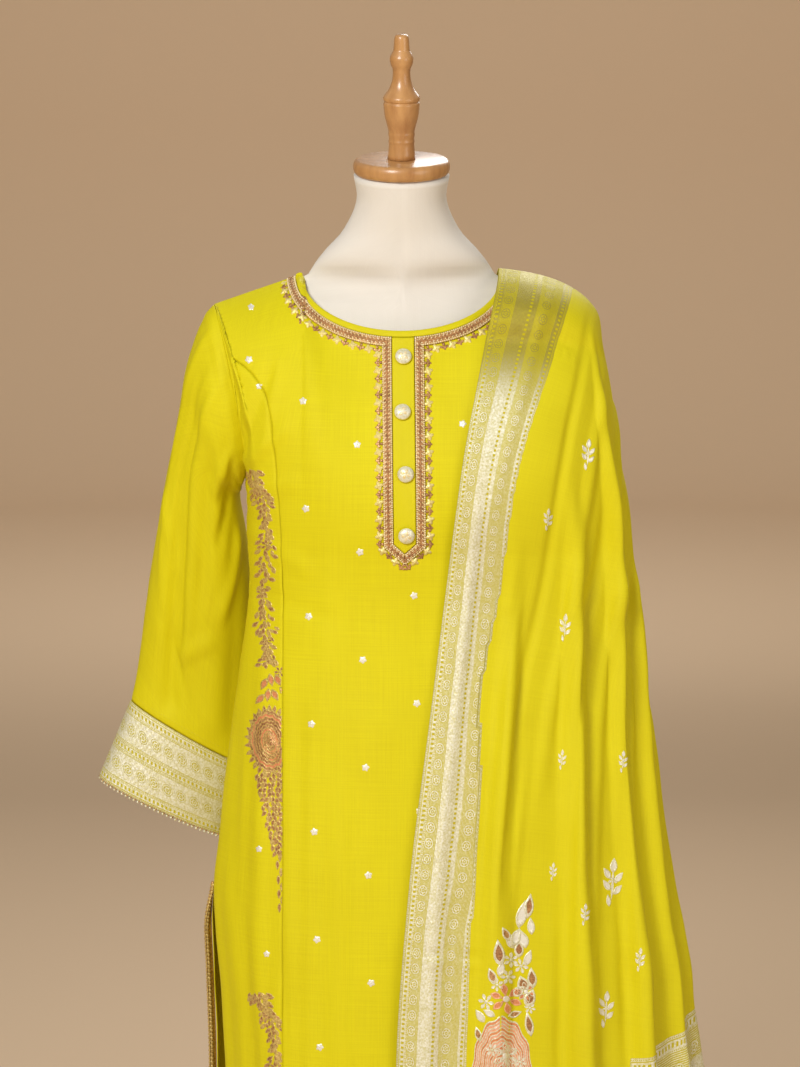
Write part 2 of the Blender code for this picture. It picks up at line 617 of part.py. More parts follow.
def make_kameez_body():
    neck_shares = tuple(NECK_SHARE * step / 4 for step in range(5))
    front_shares = neck_shares + (SHOULDER_SHARE, 0.73, PRINCESS_ARMHOLE_SHARE)
    back_shares = neck_shares + (SHOULDER_SHARE, 0.81, 1.0)

    def centre(u, v):
        half = princess_share(v) - SEAM_SHARE
        return body_point(True, panel_share(u, v, front_shares) * half, v)

    def side_left(u, v):
        start = princess_share(v) + SEAM_SHARE
        return body_point(True, start + (1.0 - start) * u, v)

    def side_right(u, v):
        start = princess_share(v) + SEAM_SHARE
        return body_point(True, -1.0 + (1.0 - start) * u, v)

    def back(u, v):
        return body_point(False, -panel_share(u, v, back_shares), v)

    def deep_inside(u, v):
        return Vector((0.0, 0.02, HEM_Z + 1.05 * v * (0.55 if v > YOKE_START else 1.0)))

    panels = (
        ("kameez_front_centre", centre, 14),
        ("kameez_side_front_left", side_left, 3),
        ("kameez_side_front_right", side_right, 3),
        ("kameez_back", back, 14),
    )
    for name, point, columns in panels:
        wall(name, point, deep_inside, columns, SKIRT_ROWS + YOKE_ROWS, KAMEEZ_CLOTH, YELLOW)


def sleeve_ring(rows, v):
    keys = [index / (len(rows) - 1) for index in range(len(rows))]
    keyed = [(key,) + tuple(row) for key, row in zip(keys, rows)]
    return named_row(("key",) + RING_COLUMNS, keyed, v)


def sleeve_fold(angle, v, mirror):
    turn = math.degrees(angle) % 360.0
    total = 0.0
    for place, half, height, start in SLEEVE_FOLDS:
        away = abs((turn - place + 180.0) % 360.0 - 180.0)
        strength = smooth_step((v - start) / 0.25) * smooth_step((1.0 - v) / 0.10)
        total += height * bump(away, half) * strength * (1.0 if mirror < 0 else 0.6)
    return total


def make_sleeve(side, mirror, sleeve_rows, cuff_rows):
    def sleeve_point(u, v):
        ring = sleeve_ring(sleeve_rows, v)
        angle = u * 2 * math.pi
        place = ring_point(ring, angle)
        middle = ring_point(ring, 0.0).lerp(ring_point(ring, math.pi), 0.5)
        middle.y = ring["mid_y"]
        place += (place - middle).normalized() * sleeve_fold(angle, v, mirror)
        place.x += ARMHOLE_GAP * smooth_step(1.0 - v / 0.05)
        place.x *= mirror
        return place

    def cuff_point(u, v):
        place = ring_point(sleeve_ring(cuff_rows, v), u * 2 * math.pi)
        place.x *= mirror
        return place

    def middle_of(rows):
        def middle(u, v):
            ring = sleeve_ring(rows, v)
            place = ring_point(ring, 0.0).lerp(ring_point(ring, math.pi), 0.5)
            place.y = ring["mid_y"]
            place.x *= mirror
            return place
        return middle

    def armhole_normal(u, v):
        if v > 1e-6:
            return None
        turn = (u * 2.0) % 2.0
        front = turn <= 1.0
        around = turn if front else 2.0 - turn
        share = SHOULDER_SHARE + (1.0 - SHOULDER_SHARE) * around
        return body_normal(front, share * mirror, 1.0)

    wall("sleeve_" + side, sleeve_point, middle_of(sleeve_rows), 16, 11, KAMEEZ_CLOTH, YELLOW,
         closed=True, edge_normal=armhole_normal)
    wall("cuff_" + side, cuff_point, middle_of(cuff_rows), 16, 2, CUFF_CLOTH, SILVER_GOLD,
         closed=True, roughness=0.35, metallic=0.6)


def neck_point(turn, away, lift):
    """A point beside the neckline: turn is 0 at the front and 1 once round, away is outwards."""
    angle = turn * 2 * math.pi
    front = math.cos(angle) >= 0.0
    centre = NECK_FRONT if front else NECK_BACK
    place = SHOULDER_NECK.lerp(centre, abs(math.cos(angle)))
    drop = abs(SHOULDER_NECK.z - centre.z)
    outward = Vector((math.sin(angle) / NECK_HALF_WIDTH, 0.0, -abs(math.cos(angle)) / drop)).normalized()
    seam = (SHOULDER_TIP - SHOULDER_NECK).normalized()
    flat = smooth_step((abs(math.sin(angle)) - 0.90) / 0.10)
    if math.sin(angle) < 0.0:
        seam.x = -seam.x
    outward = outward.lerp(Vector((seam.x, 0.0, seam.z)), flat).normalized()
    x = NECK_HALF_WIDTH * math.sin(angle) + outward.x * away
    z = place.z + outward.z * away
    if abs(math.cos(angle)) < 1e-6:
        up = Vector((math.copysign(SHOULDER_UP.x, x), 0.0, SHOULDER_UP.z))
        return Vector((x, SHOULDER_NECK.y, z)) + up * (lift + SEAM_GAP)
    return body_at(front, x, z, lift)


def make_neck_trims():
    lift = KAMEEZ_CLOTH + TRIM_LIFT

    def binding(u, v):
        return neck_point(u, TRIM_GAP + BINDING_WIDTH * v, lift)

    def throat(u, v):
        return Vector((0.0, 0.0, 1.25))

    wall("neck_binding", binding, throat, 40, 1, BINDING_CLOTH, YELLOW, closed=True)

    def placket(u, v):
        top = NECK_FRONT.z - BINDING_WIDTH - 2 * TRIM_GAP
        lean = PLACKET_TOP_X + (PLACKET_END.x - PLACKET_TOP_X) * (1.0 - v)
        side = 2.0 * u - 1.0
        bottom = PLACKET_SHOULDER_Z + (PLACKET_END.z - PLACKET_SHOULDER_Z) * (1.0 - abs(side))
        return body_at(True, lean + side * PLACKET_HALF_WIDTH, bottom + (top - bottom) * v, lift)

    wall("placket", placket, throat, 2, 12, PLACKET_CLOTH, YELLOW)

    for side, mirror in (("left", 1.0), ("right", -1.0)):
        def embroidery(u, v, mirror=mirror):
            return embroidery_point(u, v, mirror, lift)

        wall("neck_embroidery_" + side, embroidery, throat, 1, sum(EMBROIDERY_ROWS),
             EMBROIDERY_CLOTH, COPPER, roughness=0.4, metallic=0.5)


def embroidery_point(u, v, mirror, lift):
    """The worked border of one side: v runs from the shoulder to the placket's tip, u across it."""
    away = BINDING_WIDTH + 0.0010 + EMBROIDERY_WIDTH * u
    corner, side_end = (sum(EMBROIDERY_ROWS[:count]) / sum(EMBROIDERY_ROWS) for count in (1, 2))
    inner = PLACKET_HALF_WIDTH + TRIM_GAP
    beside = inner + EMBROIDERY_WIDTH * u
    if v < corner - 1e-6:
        part = v / corner
        centre_x = PLACKET_TOP_X * mirror
        last_turn = math.asin((beside + centre_x) / (NECK_HALF_WIDTH + away)) / (2 * math.pi)
        turn = EMBROIDERY_START_TURN + (last_turn - EMBROIDERY_START_TURN) * part
        return neck_point(turn * mirror if mirror > 0 else 1.0 - turn, away, lift)
    part = (v - corner) / (1.0 - corner)
    top = NECK_FRONT.z - away + EMBROIDERY_CORNER_RISE
    tip_part = (side_end - corner) / (1.0 - corner)
    lean = PLACKET_TOP_X + (PLACKET_END.x - PLACKET_TOP_X) * min(part / tip_part, 1.0)
    elbow = PLACKET_SHOULDER_Z - SEAM_GAP - EMBROIDERY_WIDTH * ELBOW_SPREAD * u
    tip = PLACKET_END.z - EMBROIDERY_CORNER_RISE - EMBROIDERY_WIDTH * TIP_SPREAD * u
    if part < tip_part:
        return body_at(True, lean + mirror * beside, top + (elbow - top) * part / tip_part, lift)
    down = (part - tip_part) / (1.0 - tip_part)
    x = beside + (TIP_GAP - beside) * down
    return body_at(True, lean + mirror * x, elbow + (tip - elbow) * down, lift)


def make_buttons():
    profile = [(BUTTON_RADIUS * math.sin(math.radians(a)), BUTTON_HEIGHT * math.cos(math.radians(a)))
               for a in (24, 48, 70, 88)]
    profile.append((BUTTON_RADIUS * 0.93, -0.0006))
    sit = KAMEEZ_CLOTH + TRIM_LIFT + PLACKET_CLOTH + BUTTON_LIFT
    for number, (x, z) in enumerate(BUTTON_PLACES, 1):
        place = body_at(True, x, z, sit)
        facing = (place - body_at(True, x, z)).normalized()
        button = turned("button_%d" % number, profile, 14, SILVER_GOLD, place, roughness=0.35)
        button.rotation_euler = facing.to_track_quat("Z", "Y").to_euler()


def make_slit_laces():
    for side, mirror in (("left", 1.0), ("right", -1.0)):
        def lace(u, v, mirror=mirror):
            z = HEM_Z + (LACE_TOP_Z - HEM_Z) * v
            edge = skirt_point(False, 1.0, z)
            x = edge.x + KAMEEZ_CLOTH + SEAM_GAP
            y = edge.y - LACE_OVERHANG + LACE_WIDTH * u
            flare = LACE_FLARE * smooth_step((LACE_TOP_Z - z) / 0.06) * (1.0 - u)
            return Vector(((x + flare) * mirror, y, z))

        wall("slit_lace_" + side, lace, axis_point, 1, 14, LACE_CLOTH, COPPER, roughness=0.4,
             metallic=0.5)


# The dupatta


def dupatta_point(front, share, run):
    """The dupatta: share across from its inner edge to its outer edge, run down from the shoulder."""
    rows = DUPATTA_FRONT_ROWS if front else DUPATTA_BACK_ROWS
    row = named_row(DUPATTA_COLUMNS, rows, run)
    start = Vector((row["in_x"], 0.0, row["in_z"]))
    start.y = inner_edge_y(front, start.x, start.z, run)
    side = Vector((row["side_x"], row["side_y"], row["side_z"]))
    end = Vector((row["end_x"], row["end_y"], row["end_z"]))
    if share <= DUPATTA_SIDE_SHARE:
        angle = share / DUPATTA_SIDE_SHARE * math.pi / 2
        turn = (1.0 - math.cos(angle)) ** row["straight"]
        place = start.lerp(side, turn)
        place.x = start.x + (side.x - start.x) * math.sin(angle)
        return place
    angle = (share - DUPATTA_SIDE_SHARE) / (1.0 - DUPATTA_SIDE_SHARE) * math.pi / 2
    place = side.lerp(end, math.sin(angle))
    place.x = side.x + (end.x - side.x) * (1.0 - math.cos(angle))
    return place


@functools.lru_cache(maxsize=None)
def kameez_y(front, x, z):
    """How far forward or back the kameez lies here, with the scarf's gap added."""
    return body_at(front, x, z, KAMEEZ_CLOTH + DUPATTA_REST_GAP).y


def inner_edge_y(front, x, z, run):
    """The inner edge lies just off the kameez, and over the seam at the shoulder's top."""
    top_y = SHOULDER_NECK.y + 0.004
    if run < 1e-6:
        return top_y
    low_z = min(z, 1.330 if front else 1.340)
    near = [kameez_y(front, x + step, low_z) for step in (0.0, 0.03, 0.05)]
    surface = min(near) if front else max(near)
    if run >= DUPATTA_LAID_RUN:
        return surface
    part = run / DUPATTA_LAID_RUN
    return top_y + (surface - top_y) * (1.0 - (1.0 - part) ** 1.6)


def dupatta_folds(front, share, run):
    total = 0.0
    for top, bottom, half, height, start in DUPATTA_FRONT_FOLDS if front else DUPATTA_BACK_FOLDS:
        place = top + (bottom - top) * run
        total += height * bump(share - place, half) * smooth_step((run - start) / 0.25)
    return total


def dupatta_sheet(u, run):
    """The folded dupatta over the shoulder: run is positive down the front, negative down the back."""
    front = run >= 0.0
    down = abs(run)
    place = dupatta_point(front, u, down)
    height = dupatta_folds(front, u, down)
    if height > 1e-6:
        normal = sheet_normal(lambda share, place_down: dupatta_point(front, share, place_down), u, down)
        centre = Vector((0.10, 0.03, place.z))
        if normal.dot(place - centre) < 0.0:
            normal = -normal
        place += normal * height
    return place


def make_dupatta():
    def piece(first, last):
        return lambda u, v: dupatta_sheet(u, first + (last - first) * v)

    def arm_line(first, last):
        def middle(u, v):
            run = first + (last - first) * v
            place = dupatta_point(run >= 0.0, 0.0, abs(run))
            return Vector((0.12, 0.03, min(place.z - 0.03, 1.30)))
        return middle

    pieces = (
        ("dupatta_front", SHOULDER_RUN + DUPATTA_JOIN, 1.0, 30, 18),
        ("dupatta_shoulder", -SHOULDER_RUN, SHOULDER_RUN, 16, 8),
        ("dupatta_back", -SHOULDER_RUN - DUPATTA_JOIN, -1.0, 18, 11),
    )
    for name, first, last, columns, rows in pieces:
        wall(name, piece(first, last), arm_line(first, last), columns, rows, DUPATTA_CLOTH, YELLOW)


# The salwar


def leg_point(rows, u, v):
    z = rows[0][0] + (rows[-1][0] - rows[0][0]) * v
    row = named_row(LEG_COLUMNS, rows, z)
    closing = min(max(row["closed"], 0.0), 1.0) * math.pi / 2
    first = -closing
    last = math.pi + closing
    angle = first + (last - first) * u
    middle = row["inner_x"] + row["half"] * math.sin(closing)
    depth = row["front"] if math.cos(angle) > 0.0 else row["back"]
    soft = 1.0 + LEG_SOFTNESS * math.sin(angle * 5.0 + z * 3.0) * smooth_step((0.9 - z) / 0.3)
    x = middle + row["half"] * math.sin(angle)
    y = row["mid_y"] - depth * math.cos(angle)
    if row["closed"] > 0.97:
        y += SEAM_GAP * 0.8 * (1.0 if u > 0.5 else -1.0)
    return Vector((middle + (x - middle) * soft, y * soft, z))


def make_salwar():
    legs = (("left", 1.0, LEG_LEFT_ROWS), ("right", -1.0, LEG_RIGHT_ROWS))
    for side, mirror, rows in legs:
        def leg(u, v, rows=rows, mirror=mirror):
            place = leg_point(rows, u, v)
            place.x *= mirror
            return place

        def middle(u, v, rows=rows, mirror=mirror):
            z = rows[0][0] + (rows[-1][0] - rows[0][0]) * v
            row = named_row(LEG_COLUMNS, rows, z)
            closing = min(max(row["closed"], 0.0), 1.0) * math.pi / 2
            return Vector((mirror * (row["inner_x"] + row["half"] * math.sin(closing)), 0.0, z))

        wall("salwar_leg_" + side, leg, middle, 16, 11, SALWAR_CLOTH, YELLOW)

        def ankle(u, v, rows=rows, mirror=mirror):
            last = dict(zip(LEG_COLUMNS, rows[-1]))
            angle = -math.pi / 2 + u * 2 * math.pi
            x = last["inner_x"] + last["half"] + last["half"] * math.sin(angle)
            y = -last["front"] * math.cos(angle)
            return Vector((mirror * x, y, ANKLE_BOTTOM_Z + (ANKLE_TOP_Z - ANKLE_BOTTOM_Z) * v))

        def ankle_middle(u, v, rows=rows, mirror=mirror):
            last = dict(zip(LEG_COLUMNS, rows[-1]))
            return Vector((mirror * (last["inner_x"] + last["half"]), 0.0, ANKLE_TOP_Z))

        wall("ankle_cuff_" + side, ankle, ankle_middle, 16, 1, CUFF_CLOTH, SILVER_GOLD, closed=True)

    def waistband(u, v):
        half, front, back = WAISTBAND_SIZES
        angle = u * 2 * math.pi
        depth = front if math.cos(angle) > 0.0 else back
        power = 2 / 2.1
        x = half * power_of(math.sin(angle), power)
        y = -depth * power_of(math.cos(angle), power)
        z = WAISTBAND_BOTTOM_Z + (WAISTBAND_TOP_Z - WAISTBAND_BOTTOM_Z) * v
        return Vector((x, y, z))

    def waist_middle(u, v):
        return Vector((0.0, 0.0, WAISTBAND_TOP_Z))

    wall("salwar_waistband", waistband, waist_middle, 24, 1, WAISTBAND_CLOTH, YELLOW, closed=True)


# The dress form


def shoulder_line_x(z):
    """Half width of the form where its shoulder runs just under the kameez's shoulder seam."""
    slope = (SHOULDER_TIP.z - SHOULDER_NECK.z) / (SHOULDER_TIP.x - SHOULDER_NECK.x)
    return SHOULDER_NECK.x + (z + SHOULDER_CLEARANCE - SHOULDER_NECK.z) / slope


def form_point(u, level):
    row = dict(zip(FORM_COLUMNS, FORM_ROWS[level]))
    half = row["half"] or shoulder_line_x(row["z"])
    angle = u * 2 * math.pi
    depth = row["front"] if math.cos(angle) > 0.0 else row["back"]
    power = 2 / row["power"]
    x = half * power_of(math.sin(angle), power)
    y = -depth * power_of(math.cos(angle), power)
    tilt = math.radians(row["tilt"])
    return Vector((x, row["mid_y"] + y * math.cos(tilt), row["z"] + y * math.sin(tilt)))


def make_form():
    levels = len(FORM_ROWS)
    around = 24
    work = bmesh.new()
    bmesh.ops.create_grid(work, x_segments=around, y_segments=levels - 1, size=0.5)
    for vertex in work.verts:
        u = vertex.co.x + 0.5
        level = round((vertex.co.y + 0.5) * (levels - 1))
        vertex.co = form_point(0.0 if u > 0.9999 else u, level)
    bmesh.ops.remove_doubles(work, verts=work.verts, dist=1e-6)
    bmesh.ops.holes_fill(work, edges=work.edges, sides=0)
    add_object("form_torso", finished_mesh(work, "form_torso"), CREAM, 0.8)

    edge = CAP_THICKNESS / 2
    rim = [(CAP_RADIUS - edge * 0.6 * (1.0 - math.sin(math.radians(a))),
            edge + edge * math.cos(math.radians(a))) for a in (0, 30, 60, 90, 120, 150, 180)]
    cap = turned("form_neck_cap", [(radius, height + SEAM_GAP) for radius, height in rim], 28, WOOD,
                 CAP_PLACE, NECK_TILT, 0.35)
    up = Matrix.Rotation(NECK_TILT, 3, "X") @ Vector((0.0, 0.0, CAP_THICKNESS + SEAM_GAP))
    turned("form_finial", FINIAL_PROFILE, 14, WOOD, cap.location + up, NECK_TILT, 0.35)

    pole_top = FORM_ROWS[0][0] - SEAM_GAP
    pole = [(POLE_RADIUS, pole_top), (POLE_RADIUS, BASE_TOP + SEAM_GAP)]
    turned("form_pole", pole, 16, WOOD, (0.0, 0.0, 0.0), 0.0, 0.35)
    base = [
        (0.030, BASE_TOP),
        (0.036, BASE_TOP - 0.003),
        (0.050, BASE_EDGE_TOP + 0.003),
        (BASE_RADIUS - 0.006, BASE_EDGE_TOP),
        (BASE_RADIUS, BASE_EDGE_TOP - 0.005),
        (BASE_RADIUS, 0.002),
        (BASE_RADIUS - 0.002, 0.0),
    ]
    turned("form_base", base, 32, WOOD, (0.0, 0.0, 0.0), 0.0, 0.4)


def main():
    clear_scene()
    parts = bpy.data.collections.new("salwar_kameez_suit")
    bpy.context.scene.collection.children.link(parts)
    make_form()
    make_salwar()
    make_kameez_body()
    make_sleeve("left", 1.0, SLEEVE_LEFT_ROWS, CUFF_LEFT_ROWS)
    make_sleeve("right", -1.0, SLEEVE_RIGHT_ROWS, CUFF_RIGHT_ROWS)
    make_neck_trims()
    make_buttons()
    make_slit_laces()
    make_dupatta()


main()
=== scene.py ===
import math

import bpy
import numpy as np
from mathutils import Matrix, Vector
from mathutils.bvhtree import BVHTree
from mathutils.kdtree import KDTree


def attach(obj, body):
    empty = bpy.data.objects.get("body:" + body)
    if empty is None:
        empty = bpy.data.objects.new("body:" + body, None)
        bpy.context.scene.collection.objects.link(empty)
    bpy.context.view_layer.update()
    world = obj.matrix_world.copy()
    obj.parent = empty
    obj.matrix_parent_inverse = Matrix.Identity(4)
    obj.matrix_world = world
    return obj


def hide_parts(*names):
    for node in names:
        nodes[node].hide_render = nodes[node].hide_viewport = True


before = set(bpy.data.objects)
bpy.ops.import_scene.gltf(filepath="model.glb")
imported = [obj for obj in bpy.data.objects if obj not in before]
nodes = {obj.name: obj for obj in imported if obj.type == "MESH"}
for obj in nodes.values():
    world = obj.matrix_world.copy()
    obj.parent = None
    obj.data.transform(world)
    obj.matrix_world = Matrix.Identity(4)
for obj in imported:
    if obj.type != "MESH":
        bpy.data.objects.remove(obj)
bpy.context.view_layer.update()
print("frame loaded:", len(nodes), "nodes")


# camera, at the photo's angle

cameraView = {
    "place": (0.0, -3.2, 1.55),
    "aim": (-0.0017, 0.0, 1.11),
    "lens": 98.08,
    "sensor": 36.0,
    "photoWidth": 800,
    "photoHeight": 1067,
}


def makeCamera():
    data = bpy.data.cameras.new("photoCamera")
    data.lens = cameraView["lens"]
    data.sensor_width = cameraView["sensor"]
    camera = bpy.data.objects.new("photoCamera", data)
    place = Vector(cameraView["place"])
    camera.location = place
    camera.rotation_euler = (Vector(cameraView["aim"]) - place).to_track_quat("-Z", "Y").to_euler()
    bpy.context.scene.collection.objects.link(camera)
    bpy.context.scene.camera = camera


makeCamera()
eye = np.array(cameraView["place"])
forward = np.array(cameraView["aim"]) - eye
forward /= np.linalg.norm(forward)
rightward = np.cross(forward, (0.0, 0.0, 1.0))
rightward /= np.linalg.norm(rightward)
upward = np.cross(rightward, forward)
focalPixels = cameraView["lens"] / cameraView["sensor"] * cameraView["photoHeight"]


def photoPixels(points):  # where these points show in the photo
    away = points - eye
    depth = away @ forward
    px = cameraView["photoWidth"] / 2 + focalPixels * (away @ rightward) / depth
    py = cameraView["photoHeight"] / 2 - focalPixels * (away @ upward) / depth
    return px, py


def photoRay(px, py):
    ray = forward * focalPixels + rightward * (px - cameraView["photoWidth"] / 2)
    ray = ray - upward * (py - cameraView["photoHeight"] / 2)
    return ray / np.linalg.norm(ray)


# curves and sheets shared by the cloth pieces


def smoothStep(value):
    value = np.clip(value, 0.0, 1.0)
    return value * value * (3.0 - 2.0 * value)


def bump(distance, half):
    return 0.5 + 0.5 * np.cos(math.pi * np.clip(np.abs(distance) / half, 0.0, 1.0))


def signedPower(value, power):
    return np.sign(value) * np.abs(value) ** power


def unit(vectors):
    return vectors / np.maximum(np.linalg.norm(vectors, axis=-1, keepdims=True), 1e-12)


def evenly(count):  # even steps from 0 to 1
    return np.linspace(0.0, 1.0, count)


def fullTurn(count):  # even angles all the way round
    return np.arange(count) / count * 2 * math.pi


def tableRow(table, key):  # smooth curves through a table's rows, read at its first column
    rows = np.array(table["rows"], float)
    keys = rows[:, 0]
    key = np.asarray(key, float)
    order = 1.0 if keys[-1] > keys[0] else -1.0
    place = np.clip(np.searchsorted(keys * order, key * order, side="right") - 1, 0, len(keys) - 2)
    before = np.maximum(place - 1, 0)
    after = np.minimum(place + 2, len(keys) - 1)
    span = (keys[place + 1] - keys[place])[..., None]
    part = np.clip((key - keys[place])[..., None] / span, 0.0, 1.0)
    start, end = rows[place], rows[place + 1]
    slopeIn = (end - rows[before]) / (keys[place + 1] - keys[before])[..., None] * span
    slopeOut = (rows[after] - start) / (keys[after] - keys[place])[..., None] * span
    square, cube = part ** 2, part ** 3
    value = (2 * cube - 3 * square + 1) * start + (cube - 2 * square + part) * slopeIn
    value = value + (3 * square - 2 * cube) * end + (cube - square) * slopeOut
    return {name: value[..., index] for index, name in enumerate(table["columns"])}


def gridNormals(grid, closed=False):
    if closed:
        across = np.roll(grid, -1, axis=1) - np.roll(grid, 1, axis=1)
    else:
        across = np.gradient(grid, axis=1)
    along = np.gradient(grid, axis=0)
    normals = np.cross(across, along)
    weak = np.linalg.norm(normals, axis=-1) < 1e-12
    normals = unit(normals)
    for row in np.nonzero(weak.any(axis=1))[0]:
        near = row - 1 if row > len(grid) // 2 else row + 1
        normals[row][weak[row]] = normals[near][weak[row]]
    return normals


def arcAcross(grid, zero=0):  # distance along each row, from this column
    steps = np.linalg.norm(np.diff(grid, axis=1), axis=-1)
    total = np.concatenate([np.zeros((len(grid), 1)), np.cumsum(steps, axis=1)], axis=1)
    return total - total[:, zero:zero + 1]


def arcAlong(grid):
    steps = np.linalg.norm(np.diff(grid, axis=0), axis=-1)
    return np.concatenate([np.zeros((1, grid.shape[1])), np.cumsum(steps, axis=0)], axis=0)


def creaseHeight(across, along, creases):  # soft ridges and troughs, each a line with a width and a height
    total = np.zeros_like(across)
    for x0, z0, x1, z1, half, height in creases:
        length = math.hypot(x1 - x0, z1 - z0)
        part = ((across - x0) * (x1 - x0) + (along - z0) * (z1 - z0)) / length ** 2
        off = ((across - x0) * (z1 - z0) - (along - z0) * (x1 - x0)) / length
        ends = smoothStep((part + 0.15) / 0.30) * smoothStep((1.15 - part) / 0.30)
        total += height * bump(off, half) * ends
    return total


def softWaves(across, along, size, seed):  # slow unevenness, the same on each run
    random = np.random.default_rng(seed)
    total = np.zeros_like(across)
    for _ in range(7):
        turn = random.uniform(0, 2 * math.pi)
        pitch = size * random.uniform(0.7, 1.6)
        phase = random.uniform(0, 2 * math.pi)
        total += np.sin((across * math.cos(turn) + along * math.sin(turn)) * 2 * math.pi / pitch + phase)
    return total / 7


seamLook = {
    "dip": 0.0006,
    "dipReach": 0.0024,
    "pucker": 0.0003,
    "puckerPitch": 0.016,
    "puckerPlace": 0.006,
    "puckerReach": 0.007,
}


def seamShape(distance, along):  # the cloth dips into a seam and puckers beside it
    dip = -seamLook["dip"] * (1.0 - smoothStep(distance / seamLook["dipReach"]))
    wander = 1.3 * np.sin(along * 41.0)
    pucker = seamLook["pucker"] * np.sin(along * 2 * math.pi / seamLook["puckerPitch"] + wander)
    return dip + pucker * np.exp(-np.abs(distance - seamLook["puckerPlace"]) / seamLook["puckerReach"])


def gridFaces(rows, columns, closed):
    index = np.arange(rows * columns).reshape(rows, columns)
    left = index if closed else index[:, :-1]
    right = np.roll(index, -1, axis=1) if closed else index[:, 1:]
    return np.stack([left[:-1], right[:-1], right[1:], left[1:]], axis=-1).reshape(-1, 4)


def sheetMesh(name, grid, layers, closed=False):
    mesh = bpy.data.meshes.new(name)
    faces = gridFaces(grid.shape[0], grid.shape[1], closed)
    mesh.from_pydata(grid.reshape(-1, 3).tolist(), [], faces.tolist())
    for label, flat in layers.items():
        corners = (flat[:-1, :-1], flat[:-1, 1:], flat[1:, 1:], flat[1:, :-1])
        layer = mesh.uv_layers.new(name=label)
        layer.data.foreach_set("uv", np.stack(corners, axis=2).ravel())
    mesh.shade_smooth()
    return mesh


def addPiece(name, mesh, material, replaced=()):
    piece = bpy.data.objects.new(name, mesh)
    bpy.context.scene.collection.objects.link(piece)
    for item in material if isinstance(material, (list, tuple)) else [material]:
        mesh.materials.append(item)
    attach(piece, "root")
    if replaced:
        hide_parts(*replaced)
    return piece


def clothPiece(name, grid, material, replaced, thickness, layers, closed=False):
    piece = addPiece(name, sheetMesh(name, grid, layers, closed), material, replaced)
    wall = piece.modifiers.new("clothThickness", "SOLIDIFY")
    wall.thickness = thickness
    wall.offset = -1.0
    return piece


def facingOut(grid, inside, closed=False):  # whether the sheet's normals point away from these places
    normals = gridNormals(grid, closed)
    return np.sum(normals * (grid - inside)) > 0.0


def outwardTube(grid, inside):  # the tube with its columns run so that its normals point out
    if facingOut(grid, inside, True):
        return grid
    return np.concatenate([grid[:, :1], grid[:, :0:-1]], axis=1)


def flatLayer(across, along):
    return np.stack([across, along], axis=-1)


def closedFlat(grid):  # flat sizes of a tube, with one column more than it has points
    wrapped = np.concatenate([grid, grid[:, :1]], axis=1)
    return flatLayer(arcAcross(wrapped), arcAlong(wrapped))


def sheetLayers(grid):
    return {"flat": flatLayer(arcAcross(grid), arcAlong(grid))}


def tubeLayers(grid):
    return {"flat": closedFlat(grid)}


# materials


def calc(tree, operation, first, second=0.0, third=0.0):
    node = tree.nodes.new("ShaderNodeMath")
    node.operation = operation
    for socket, value in zip(node.inputs, (first, second, third)):
        if isinstance(value, (int, float)):
            socket.default_value = value
        else:
            tree.links.new(value, socket)
    return node.outputs[0]


def bounded(tree, value):  # kept between nothing and one
    return calc(tree, "MINIMUM", calc(tree, "MAXIMUM", value, 0.0), 1.0)


def mixColor(tree, factor, first, second):
    node = tree.nodes.new("ShaderNodeMix")
    node.data_type = "RGBA"
    for index, value in ((0, factor), (6, first), (7, second)):
        if isinstance(value, (int, float, tuple)):
            node.inputs[index].default_value = value
        else:
            tree.links.new(value, node.inputs[index])
    return node.outputs[2]


def stretchedNoise(tree, vector, stretch, scale, detail=2.0):
    mapping = tree.nodes.new("ShaderNodeMapping")
    mapping.inputs["Scale"].default_value = stretch
    tree.links.new(vector, mapping.inputs["Vector"])
    node = tree.nodes.new("ShaderNodeTexNoise")
    node.inputs["Scale"].default_value = scale
    node.inputs["Detail"].default_value = detail
    tree.links.new(mapping.outputs[0], node.inputs["Vector"])
    return node.outputs["Fac"]


def newGroup(name, inputs, outputs):
    group = bpy.data.node_groups.new(name, "ShaderNodeTree")
    for label, kind in inputs:
        group.interface.new_socket(name=label, in_out="INPUT", socket_type="NodeSocket" + kind)
    for label, kind in outputs:
        group.interface.new_socket(name=label, in_out="OUTPUT", socket_type="NodeSocket" + kind)
    return group, group.nodes.new("NodeGroupInput"), group.nodes.new("NodeGroupOutput")


